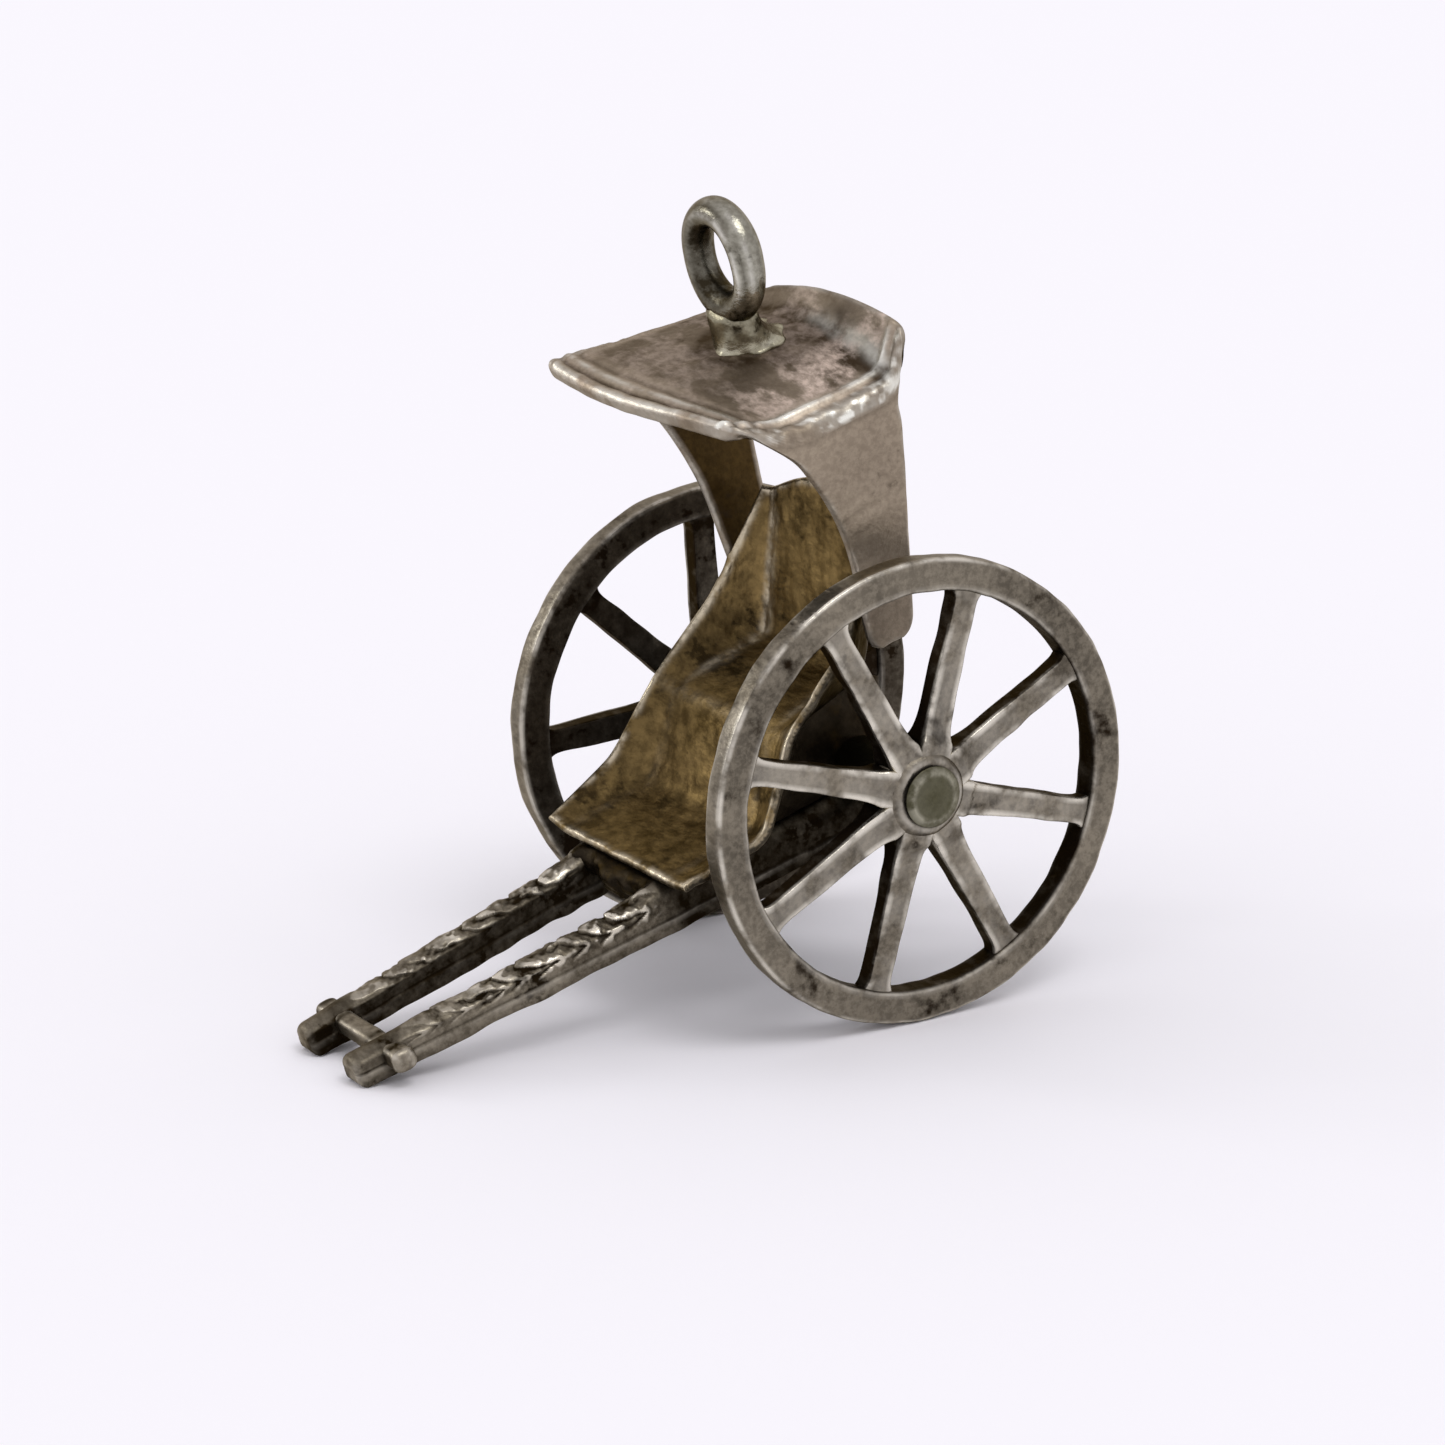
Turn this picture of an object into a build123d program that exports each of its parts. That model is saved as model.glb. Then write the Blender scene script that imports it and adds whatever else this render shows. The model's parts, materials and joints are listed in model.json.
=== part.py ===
from build123d import *
from math import asin, atan2, cos, hypot, radians, sin
import os

os.makedirs("parts", exist_ok=True)

# A silver charm in the form of a pulled rickshaw, parked on its two wheels and the tips of its shafts.
# World frame in millimetres: +X towards the shaft tips, +Y to the passenger's left, +Z up, floor at Z = 0.
# The body frame has its origin on the axle and its x axis along the shafts, which slope down to the floor.

# Wheels, one casting each
WHEEL_RADIUS = 7.5
RIM_WIDTH = 1.23
RIM_THICKNESS = 0.95
RIM_EDGE_BEVEL = 0.2
HALF_TRACK = 6.26
SPOKE_COUNT = 8
SPOKE_WIDTH_AT_RIM = 0.9
SPOKE_WIDTH_AT_HUB = 1.1
SPOKE_DEPTH = 0.7
SPOKE_ROOT_ROUND = 0.25
SPOKE_ANGLE_LEFT = 105.5
SPOKE_ANGLE_RIGHT = 86.5
HUB_RADIUS = 1.62
HUB_PROUD = 0.28
HUB_EDGE_BEVEL = 0.1

# Axle, a turned rod with a shoulder inside each wheel and a riveted head outside it
JOURNAL_RADIUS = 0.7
JOURNAL_CLEARANCE = 0.05
SHOULDER_RADIUS = 0.95
END_PLAY = 0.06
RIVET_RADIUS = 1.0
RIVET_HEIGHT = 0.16
RIVET_EDGE_BEVEL = 0.05

# Shafts, two wedge-shaped bars that draw together towards the tips
SHAFT_REACH = 18.95
SHAFT_TAIL = 1.7
SHAFT_WIDTH = 1.2
SHAFT_SPREAD_AT_AXLE = 2.78
SHAFT_SPREAD_AT_TIP = 1.62
SHAFT_DROP = 2.2
SHAFT_BAND_HEIGHT = 0.5
SHAFT_LEDGE = 0.05
SHAFT_HEIGHT_AT_TIP = 1.05
SHAFT_HEIGHT_AT_NECK = 1.5
SHAFT_NECK = 1.6
SHAFT_BEVEL = 0.3
NOSE_ROUND = 0.3

# Crossbar, a squarish rod let into the tops of both shafts near their tips
CROSSBAR_WIDTH = 0.9
CROSSBAR_HEIGHT = 0.85
CROSSBAR_SET_BACK = 1.35
CROSSBAR_REACH_LEFT = 3.0
CROSSBAR_REACH_RIGHT = 2.6
CROSSBAR_ROUND = 0.22
CROSSBAR_SEAT = 0.22

# Seat shell, one stamped sheet: footboard, apron, seat and back, a gusset wing along each side, box sides below
SHEET = 0.3
FOOTBOARD_FRONT_X = 7.76
FOOTBOARD_Z = -0.15
APRON_FOOT_X = 4.4
SEAT_FRONT_X = 2.65
SEAT_FRONT_Z = 2.6
SEAT_REAR_X = -0.95
SEAT_REAR_Z = 2.95
BACK_TOP_X = -2.65
BACK_TOP_Z = 7.4
BACK_HALF_WIDTH = 2.9
BACK_ARCH = 0.85
BOX_HALF_WIDTH = 2.85
BOX_REAR_X = -1.5

# Hood, one bent sheet: crowned top, brim, two side panels that end in straps, and an upturned rear crest
HOOD_HALF_WIDTH = 5.15
HOOD_BEND_Z = 12.5
HOOD_CROWN_Z = 13.5
HOOD_LEAN = 0.4
HOOD_BEND_ROUND = 0.7
HOOD_REAR_X = -3.85
PANEL_SHOULDER_X = 0.0
PANEL_SHOULDER_Z = 11.0
PANEL_WAIST_Z = 7.0
STRAP_FRONT_X = -0.95
STRAP_REAR_X = -2.6
STRAP_FOOT_Z = 4.1
STRAP_HALF_GAP = 3.7
STRAP_FOOT_ROUND = 0.5
BRIM_ROOT_X = 0.2
BRIM_ROOT_RISE_RIGHT = 0.65
BRIM_REACH_LEFT = 1.9
BRIM_REACH_MIDDLE = 2.85
BRIM_REACH_RIGHT = 2.8
BRIM_RISE_LEFT = 1.5
BRIM_RISE_RIGHT = 1.1
BRIM_HEM_X = 2.2
BRIM_HEM_Z = 13.1
LIP_DEPTH = 0.42
CREST_OVERHANG = 0.75
CREST_LIFT = 0.8
CREST_LIFT_LEFT = 1.7
CREST_LIFT_RIGHT = 0.1
CREST_NOTCH = 0.25
CREST_CORNER_ROUND = 0.6

# Bail, a wire ring that stands in a groove of its solder bead on the crown
BAIL_WIRE = 1.0
BAIL_OUTSIDE = 3.9
BAIL_X = -2.05
BAIL_STAND = 0.88
BEAD_RADIUS = 1.4
BEAD_HEIGHT = 1.38

# Parked attitude: the rounded toe of each shaft and both wheels touch the floor
toe_x = SHAFT_REACH - NOSE_ROUND
toe_z = NOSE_ROUND - SHAFT_DROP
pitch = asin((WHEEL_RADIUS - NOSE_ROUND) / hypot(toe_x, toe_z)) - atan2(-toe_z, toe_x)
brow_z = SHAFT_HEIGHT_AT_TIP - SHAFT_DROP - NOSE_ROUND
front_reach = toe_x * cos(pitch) + brow_z * sin(pitch) + NOSE_ROUND
axle_point = Vector((WHEEL_RADIUS - front_reach) / 2, 0, WHEEL_RADIUS)
forward = Vector(cos(pitch), 0, -sin(pitch))
upward = Vector(sin(pitch), 0, cos(pitch))
left = Vector(0, 1, 0)
body = Plane(axle_point, x_dir=forward, z_dir=upward)
body_side = Plane(axle_point, x_dir=forward, z_dir=-left)


def body_point(x, y, z):
    """World place of a point given in the body frame."""
    return axle_point + forward * x + left * y + upward * z


def cross_plane(x, z, along_x, along_z):
    """Plane across the body at (x, z), with its normal along the given direction in the body's side view."""
    return Plane(body_point(x, 0, z), x_dir=left, z_dir=forward * along_x + upward * along_z)


# Wheels: rim, hub and spokes in one casting, with a bore that runs on the axle's journal
for side, angle, label in ((1, SPOKE_ANGLE_LEFT, "wheel_left"), (-1, SPOKE_ANGLE_RIGHT, "wheel_right")):
    first_spoke = (cos(radians(angle)), 0, sin(radians(angle)))
    wheel_plane = Plane(axle_point + left * (side * HALF_TRACK), x_dir=first_spoke, z_dir=left * side)
    rim_inside = WHEEL_RADIUS - RIM_WIDTH
    with BuildPart() as wheel:
        with BuildSketch(wheel_plane):
            Circle(WHEEL_RADIUS)
            Circle(rim_inside, mode=Mode.SUBTRACT)
        extrude(amount=RIM_THICKNESS / 2, both=True)
        chamfer(wheel.edges().filter_by(GeomType.CIRCLE).sort_by(SortBy.RADIUS)[-2:], RIM_EDGE_BEVEL)
        with BuildSketch(wheel_plane) as spider:
            Circle(rim_inside + RIM_WIDTH / 2)
            Circle(rim_inside, mode=Mode.SUBTRACT)
            Circle(HUB_RADIUS)
            with PolarLocations(0, SPOKE_COUNT):
                Polygon(
                    (HUB_RADIUS / 2, -SPOKE_WIDTH_AT_HUB / 2),
                    (rim_inside + RIM_WIDTH / 4, -SPOKE_WIDTH_AT_RIM / 2),
                    (rim_inside + RIM_WIDTH / 4, SPOKE_WIDTH_AT_RIM / 2),
                    (HUB_RADIUS / 2, SPOKE_WIDTH_AT_HUB / 2),
                    align=None,
                )
            roots = spider.vertices().filter_by(lambda v: abs(hypot(v.X, v.Y) - rim_inside) < RIM_WIDTH / 8)
            fillet(roots, SPOKE_ROOT_ROUND)
        extrude(amount=SPOKE_DEPTH / 2, both=True)
        with BuildSketch(wheel_plane):
            Circle(HUB_RADIUS)
        extrude(amount=RIM_THICKNESS / 2 + HUB_PROUD, both=True)
        hub_ends = wheel.faces().filter_by(Axis.Y).sort_by(Axis.Y)
        chamfer(hub_ends[0].edges() + hub_ends[-1].edges(), HUB_EDGE_BEVEL)
        with BuildSketch(wheel_plane):
            Circle(JOURNAL_RADIUS + JOURNAL_CLEARANCE)
        extrude(amount=WHEEL_RADIUS, both=True, mode=Mode.SUBTRACT)
    wheel.part.label = label
    export_step(wheel.part, f"parts/{label}.step")

# Axle: shoulders keep the wheels off the body and riveted heads keep them on
hub_half = RIM_THICKNESS / 2 + HUB_PROUD
shoulder_y = HALF_TRACK - hub_half - END_PLAY
head_y = HALF_TRACK + hub_half + END_PLAY
with BuildPart() as axle:
    with BuildSketch(Plane(axle_point, x_dir=left, z_dir=(1, 0, 0))):
        with BuildLine():
            Polyline(
                (0, 0),
                (0, SHOULDER_RADIUS),
                (shoulder_y, SHOULDER_RADIUS),
                (shoulder_y, JOURNAL_RADIUS),
                (head_y, JOURNAL_RADIUS),
                (head_y, RIVET_RADIUS),
                (head_y + RIVET_HEIGHT, RIVET_RADIUS),
                (head_y + RIVET_HEIGHT, 0),
                close=True,
            )
        make_face()
        mirror(about=Plane.YZ)
    revolve(axis=Axis(axle_point, left))
    rivets = axle.edges().filter_by(GeomType.CIRCLE).sort_by(Axis.Y)
    chamfer([rivets[0], rivets[-1]], RIVET_EDGE_BEVEL)
axle.part.label = "axle"
export_step(axle.part, "parts/axle.step")

# Crossbar: it lies in matching notches, so the shafts are cut by the same bar
crossbar_x = SHAFT_REACH - CROSSBAR_SET_BACK
crossbar_z = CROSSBAR_SEAT - SHAFT_DROP + CROSSBAR_HEIGHT / 2
with BuildPart() as crossbar:
    with BuildSketch(Plane(body_point(0, CROSSBAR_REACH_LEFT, 0), x_dir=forward, z_dir=-left)):
        with Locations((crossbar_x, crossbar_z)):
            RectangleRounded(CROSSBAR_WIDTH, CROSSBAR_HEIGHT, CROSSBAR_ROUND)
    extrude(amount=CROSSBAR_REACH_LEFT + CROSSBAR_REACH_RIGHT)
crossbar.part.label = "crossbar"
export_step(crossbar.part, "parts/crossbar.step")

# Shafts: a plain lower band and a bevelled upper part, saddled for the axle and notched for the crossbar
footboard_underside = FOOTBOARD_Z - SHEET
height_at_body = footboard_underside + SHAFT_DROP
shaft_length = SHAFT_REACH + SHAFT_TAIL
shaft_sections = (  # x along the body, height of the bar
    (-SHAFT_TAIL, height_at_body),
    (FOOTBOARD_FRONT_X, height_at_body),
    (FOOTBOARD_FRONT_X + SHAFT_NECK, SHAFT_HEIGHT_AT_NECK),
    (SHAFT_REACH, SHAFT_HEIGHT_AT_TIP),
)
for side, label in ((1, "shaft_left"), (-1, "shaft_right")):
    with BuildPart() as shaft:
        for x, height in shaft_sections:
            spread = SHAFT_SPREAD_AT_AXLE + (SHAFT_SPREAD_AT_TIP - SHAFT_SPREAD_AT_AXLE) * x / SHAFT_REACH
            with BuildSketch(Plane(body_point(x, side * spread, -SHAFT_DROP), x_dir=left, z_dir=forward)):
                Rectangle(SHAFT_WIDTH, SHAFT_BAND_HEIGHT, align=(Align.CENTER, Align.MIN))
                with BuildSketch(mode=Mode.PRIVATE) as top:
                    Rectangle(SHAFT_WIDTH - 2 * SHAFT_LEDGE, height, align=(Align.CENTER, Align.MIN))
                    chamfer(top.vertices().group_by(Axis.Y)[-1], SHAFT_BEVEL)
                add(top.sketch)
        loft(ruled=True)
        with BuildSketch(body_side) as outline:
            with Locations((-SHAFT_TAIL, -SHAFT_DROP)):
                Rectangle(shaft_length, height_at_body, align=Align.MIN)
            with BuildSketch(mode=Mode.PRIVATE) as nose:
                with Locations((0, -SHAFT_DROP)):
                    Rectangle(SHAFT_REACH, SHAFT_HEIGHT_AT_TIP, align=Align.MIN)
                fillet(nose.vertices().group_by(Axis.X)[-1], NOSE_ROUND)
            with Locations((SHAFT_REACH, -SHAFT_DROP)):
                Rectangle(NOSE_ROUND, height_at_body, align=(Align.MAX, Align.MIN), mode=Mode.SUBTRACT)
            add(nose.sketch)
        extrude(amount=HALF_TRACK, both=True, mode=Mode.INTERSECT)
        with BuildSketch(body_side):
            Circle(SHOULDER_RADIUS)
        extrude(amount=HALF_TRACK, both=True, mode=Mode.SUBTRACT)
        add(crossbar.part, mode=Mode.SUBTRACT)
    shaft.part.label = label
    export_step(shaft.part, f"parts/{label}.step")

# Places that the seat shell and the hood share
bend_left = HOOD_BEND_Z - HOOD_LEAN
bend_right = HOOD_BEND_Z + HOOD_LEAN
strap_outside = STRAP_HALF_GAP + SHEET
panel_gap = HOOD_HALF_WIDTH - SHEET
strap_edge = cross_plane(STRAP_FRONT_X + SHEET / 4, 0, 1, 0)

# Seat shell: a loft of U sections along the bends of the sheet, each square to the bend's bisector. Below the
# seat a plate on each side stands on the shaft and lets the axle through
footboard_run = Vector(FOOTBOARD_FRONT_X - APRON_FOOT_X, 0, 0).normalized()
apron_run = Vector(APRON_FOOT_X - SEAT_FRONT_X, 0, FOOTBOARD_Z - SEAT_FRONT_Z).normalized()
seat_run = Vector(SEAT_FRONT_X - SEAT_REAR_X, 0, SEAT_FRONT_Z - SEAT_REAR_Z).normalized()
back_run = Vector(SEAT_REAR_X - BACK_TOP_X, 0, SEAT_REAR_Z - BACK_TOP_Z).normalized()
shell_sections = (  # x, z, run of the sheet, half floor, left wing out and up, right wing out and up
    (FOOTBOARD_FRONT_X, FOOTBOARD_Z, footboard_run, 3.5, 4.36, 0.12, 4.36, 0.12),
    (APRON_FOOT_X, FOOTBOARD_Z, footboard_run + apron_run, 3.2, 4.4, 0.4, 4.4, 1.3),
    (SEAT_FRONT_X, SEAT_FRONT_Z, apron_run + seat_run, 3.2, 4.3, 0.3, 4.3, 0.15),
    (SEAT_REAR_X, SEAT_REAR_Z, seat_run + back_run, BACK_HALF_WIDTH, 4.3, 1.9, 4.3, 1.9),
    (BACK_TOP_X, BACK_TOP_Z, back_run, BACK_HALF_WIDTH, 3.25, 0.2, 3.25, 0.2),
)
with BuildPart() as seat_shell:
    for x, z, run, half_floor, left_out, left_up, right_out, right_up in shell_sections:
        with BuildSketch(cross_plane(x, z, run.X, run.Z)):
            with BuildLine():
                Polyline((left_out, left_up), (half_floor, 0), (-half_floor, 0), (-right_out, right_up))
                offset(amount=SHEET, side=Side.LEFT, kind=Kind.INTERSECTION)
            make_face()
    loft(ruled=True)
    with BuildSketch(cross_plane(BACK_TOP_X, BACK_TOP_Z, -back_run.Z, back_run.X)):
        with BuildLine():
            arch = ThreePointArc((-BACK_HALF_WIDTH, 0), (0, BACK_ARCH), (BACK_HALF_WIDTH, 0))
            Line(arch @ 1, arch @ 0)
        make_face()
    extrude(amount=-SHEET)
    for box_side in (BOX_HALF_WIDTH, SHEET - BOX_HALF_WIDTH):
        with BuildSketch(Plane(body_point(0, box_side, 0), x_dir=forward, z_dir=-left)):
            Polygon(
                (APRON_FOOT_X, FOOTBOARD_Z - SHEET / 2),
                (SEAT_FRONT_X, SEAT_FRONT_Z - SHEET / 2),
                (SEAT_REAR_X - SHEET, SEAT_REAR_Z - SHEET),
                (BOX_REAR_X, footboard_underside),
                (APRON_FOOT_X - SHEET, footboard_underside),
                align=None,
            )
            Circle(SHOULDER_RADIUS, mode=Mode.SUBTRACT)
        extrude(amount=SHEET)
    with BuildSketch(strap_edge):
        for side, bend in ((1, bend_left), (-1, bend_right)):
            Polygon(
                (side * STRAP_HALF_GAP, STRAP_FOOT_Z),
                (side * panel_gap, bend),
                (side * 2 * HOOD_HALF_WIDTH, bend),
                (side * 2 * HOOD_HALF_WIDTH, STRAP_FOOT_Z),
                align=None,
            )
    extrude(amount=2 * HOOD_REAR_X, mode=Mode.SUBTRACT)
seat_shell.part.label = "seat_shell"
export_step(seat_shell.part, "parts/seat_shell.step")

# Plan of the hood: its front edge is bowed and reaches less far on the left
crest_x = HOOD_REAR_X - CREST_OVERHANG
with BuildSketch(body) as plan:
    with BuildLine():
        edge = ThreePointArc(
            (BRIM_REACH_LEFT, HOOD_HALF_WIDTH),
            (BRIM_REACH_MIDDLE, 0),
            (BRIM_REACH_RIGHT, -HOOD_HALF_WIDTH),
        )
        Polyline(edge @ 1, (crest_x, -HOOD_HALF_WIDTH), (crest_x, HOOD_HALF_WIDTH), edge @ 0)
    make_face()
    fillet(plan.vertices(), CREST_CORNER_ROUND)

# Hood: a loft of arch sections from the crest to the brim, with a lip under the front edge. It is trimmed to
# its side view along the direction in which it leans, notched under the crest's ends and trimmed to its plan
hood_sections = (  # x, lift of the left bend, of the crown and of the right bend
    (crest_x, CREST_LIFT_LEFT, CREST_LIFT, CREST_LIFT_RIGHT),
    (HOOD_REAR_X, 0, 0, 0),
    (BRIM_ROOT_X, 0, 0, BRIM_ROOT_RISE_RIGHT),
    (BRIM_REACH_MIDDLE, BRIM_RISE_LEFT, 0, BRIM_RISE_RIGHT),
)
lip_half_width = HOOD_HALF_WIDTH - HOOD_BEND_ROUND
sheet_middle_z = HOOD_CROWN_Z - SHEET / 2
with BuildPart() as lip:
    for x, lift_left, lift_crown, lift_right in hood_sections[-2:]:
        with BuildSketch(cross_plane(x, 0, 1, 0)):
            with BuildLine():
                ThreePointArc(
                    (lip_half_width, bend_left + lift_left),
                    (0, sheet_middle_z + lift_crown),
                    (-lip_half_width, bend_right + lift_right),
                )
                offset(amount=LIP_DEPTH - SHEET / 2, side=Side.LEFT, kind=Kind.INTERSECTION)
            make_face()
    loft(ruled=True)
    extrude(plan.sketch.moved(Location(forward * -SHEET)), amount=2 * HOOD_CROWN_Z, mode=Mode.SUBTRACT)
with BuildPart() as hood:
    for x, lift_left, lift_crown, lift_right in hood_sections:
        with BuildSketch(cross_plane(x, 0, 1, 0)):
            with BuildLine() as arch:
                crown = ThreePointArc(
                    (HOOD_HALF_WIDTH, bend_left + lift_left),
                    (0, HOOD_CROWN_Z + lift_crown),
                    (-HOOD_HALF_WIDTH, bend_right + lift_right),
                )
                Line((strap_outside, STRAP_FOOT_Z), crown @ 0)
                Line((-strap_outside, STRAP_FOOT_Z), crown @ 1)
                fillet(arch.vertices().group_by(Axis.Y)[-2:], HOOD_BEND_ROUND)
                offset(amount=SHEET, side=Side.LEFT, kind=Kind.INTERSECTION)
            make_face()
    loft(ruled=True)
    add(lip.part)
    with BuildSketch(body_side) as side_view:
        with BuildLine():
            strap = (STRAP_FRONT_X, PANEL_WAIST_Z)
            waist = TangentArc(strap, (PANEL_SHOULDER_X, PANEL_SHOULDER_Z), tangent=(0, 1))
            shoulder = TangentArc(waist @ 1, (BRIM_HEM_X, BRIM_HEM_Z), tangent=waist % 1)
            Polyline(
                shoulder @ 1,
                (2 * BRIM_REACH_MIDDLE, BRIM_HEM_Z),
                (2 * BRIM_REACH_MIDDLE, 2 * HOOD_CROWN_Z),
                (2 * HOOD_REAR_X, 2 * HOOD_CROWN_Z),
                (2 * HOOD_REAR_X, bend_left),
                (HOOD_REAR_X, bend_left),
                (STRAP_REAR_X, STRAP_FOOT_Z),
                (STRAP_FRONT_X, STRAP_FOOT_Z),
                strap,
            )
        make_face()
        fillet(side_view.vertices().group_by(Axis.Y)[0], STRAP_FOOT_ROUND)
    lean = left - upward * (HOOD_LEAN / HOOD_HALF_WIDTH)
    extrude(amount=2 * HOOD_HALF_WIDTH, dir=lean, both=True, mode=Mode.INTERSECT)
    notch_z = bend_left + CREST_NOTCH
    with BuildSketch(body_side):
        Polygon(
            (HOOD_REAR_X, PANEL_SHOULDER_Z),
            (HOOD_REAR_X, notch_z),
            (2 * HOOD_REAR_X, notch_z - HOOD_REAR_X),
            (2 * HOOD_REAR_X, PANEL_SHOULDER_Z),
            align=None,
        )
    extrude(amount=2 * HOOD_HALF_WIDTH, both=True, mode=Mode.SUBTRACT)
    extrude(plan.sketch, amount=2 * HOOD_CROWN_Z, mode=Mode.INTERSECT)
hood.part.label = "hood"
export_step(hood.part, "parts/hood.step")

# Bail: the ring stands upright across the crown
bail_foot_z = HOOD_CROWN_Z + BAIL_STAND
bail_centre_z = bail_foot_z + BAIL_OUTSIDE / 2
with BuildPart() as bail_ring:
    with BuildSketch(body_side):
        with Locations((BAIL_X, bail_foot_z + BAIL_OUTSIDE - BAIL_WIRE / 2)):
            Circle(BAIL_WIRE / 2)
    revolve(axis=Axis(body_point(BAIL_X, 0, bail_centre_z), forward))
bail_ring.part.label = "bail_ring"
export_step(bail_ring.part, "parts/bail_ring.step")

# Solder bead: a dome that fits the crown below and holds the foot of the ring in a groove
bead_sphere = (BEAD_RADIUS**2 + BEAD_HEIGHT**2) / (2 * BEAD_HEIGHT)
with BuildPart() as bail_solder:
    bead_centre = body_point(BAIL_X, 0, HOOD_CROWN_Z + BEAD_HEIGHT - bead_sphere)
    with Locations(Plane(bead_centre, x_dir=forward, z_dir=upward)):
        Sphere(bead_sphere)
    with BuildSketch(cross_plane(HOOD_REAR_X, 0, 1, 0)):
        with BuildLine():
            ends = (HOOD_HALF_WIDTH, bend_left), (-HOOD_HALF_WIDTH, bend_right)
            ThreePointArc(ends[0], (0, sheet_middle_z), ends[1])
            Polyline(ends[1], (-HOOD_HALF_WIDTH, 0), (HOOD_HALF_WIDTH, 0), ends[0])
        make_face()
    extrude(amount=BRIM_ROOT_X - HOOD_REAR_X, mode=Mode.SUBTRACT)
    add(hood.part, mode=Mode.SUBTRACT)
    with BuildSketch(body_side):
        with Locations((BAIL_X, bail_foot_z + BAIL_WIRE / 2)):
            Circle(BAIL_WIRE / 2)
    extrude(amount=BEAD_RADIUS, both=True, mode=Mode.SUBTRACT)
bail_solder.part.label = "bail_solder"
export_step(bail_solder.part, "parts/bail_solder.step")
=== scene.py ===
import json

import bmesh
import bpy
import numpy as np
from mathutils import Matrix, Vector


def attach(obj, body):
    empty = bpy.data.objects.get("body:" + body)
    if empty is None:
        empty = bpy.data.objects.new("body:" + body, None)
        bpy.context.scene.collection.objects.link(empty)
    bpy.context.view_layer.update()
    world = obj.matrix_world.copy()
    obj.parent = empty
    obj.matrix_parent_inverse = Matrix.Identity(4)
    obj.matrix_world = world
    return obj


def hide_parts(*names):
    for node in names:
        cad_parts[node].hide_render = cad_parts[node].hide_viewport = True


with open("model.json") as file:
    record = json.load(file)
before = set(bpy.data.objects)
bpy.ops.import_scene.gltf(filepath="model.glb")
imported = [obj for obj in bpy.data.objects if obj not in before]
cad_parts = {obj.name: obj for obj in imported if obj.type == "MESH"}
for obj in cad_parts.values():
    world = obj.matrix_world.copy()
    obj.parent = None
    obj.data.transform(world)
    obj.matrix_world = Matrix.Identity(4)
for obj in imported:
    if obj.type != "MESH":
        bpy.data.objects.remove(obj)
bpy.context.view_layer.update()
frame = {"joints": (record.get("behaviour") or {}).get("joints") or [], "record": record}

# Axle: a filed silver rod through both wheels, shouldered inside each hub and riveted over outside it, so that
# the wheels turn on it. Sizes are in millimetres, and most places are given in the body's frame: its origin is
# on the axle, x runs forward along the sloping shafts, y to the passenger's left and z up from the shafts.
MM_PER_METRE = 1000
HALF_TRACK = 6.26
HUB_HALF = 0.755
END_PLAY = 0.06
AXLE_RADIUS = 0.95
JOURNAL_RADIUS = 0.7
RIVET_RADIUS = 1.0
RIVET_HEIGHT = 0.16
AXLE_TURNS = 96
pivot = np.array(frame["joints"][0]["pos_m"])
slope = np.array(frame["record"]["mounts"][0]["axis"])


def level(x, y, z):
    """Place beside the axle to place on the floor: the axle's centre plus x, y and z, from mm to metres."""
    x, y, z = (place / MM_PER_METRE for place in np.broadcast_arrays(x, y, z))
    return np.stack([pivot[0] + x, y, pivot[2] + z], axis=-1)


def parked(x, y, z):
    """Body place to place on the floor: x and z are turned nose-down about the axle by the slope of the shafts."""
    return level(x * slope[0] - z * slope[2], y, x * slope[2] + z * slope[0])


def eased(corners, ease, steps=4):
    """Rounds the corners of an outline: each becomes a parabola from a point before it to a point after it."""
    corners = np.asarray(corners, float)
    ease = np.broadcast_to(ease, len(corners))[:, None]
    before, after = (np.roll(corners, shift, 0) - corners for shift in (1, -1))
    start = corners + before / np.linalg.norm(before, axis=1, keepdims=True) * ease
    end = corners + after / np.linalg.norm(after, axis=1, keepdims=True) * ease
    t = np.linspace(0, 1, steps + 1)[None, :, None]
    curve = (1 - t) ** 2 * start[:, None] + 2 * t * (1 - t) * corners[:, None] + t**2 * end[:, None]
    return curve.reshape(-1, 2)


def lathe(radius, side, turns):
    """Turns a profile about the axle: radius times the turn's cosine and sine, side along y."""
    turn = np.linspace(0, 2 * np.pi, turns, endpoint=False)
    return level(radius * np.cos(turn), side, radius * np.sin(turn))


def lumps(points, size, seed):
    """Smooth unevenness from about -1 to 1: a sum of sine waves in random directions, about size mm long."""
    waves, stretch, twice_spread = 14, 0.6 * MM_PER_METRE, 5.3
    draw = np.random.default_rng(seed)
    ways = draw.normal(size=(3, waves)) * 2 * np.pi / size * stretch
    return np.sin(points @ ways + draw.uniform(0, 2 * np.pi, waves)).sum(-1) / twice_spread


def stripe(distance, middle, width):
    """A soft stripe: a bell of the distance about its middle."""
    return np.exp(-(((distance - middle) / width) ** 2))


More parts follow.
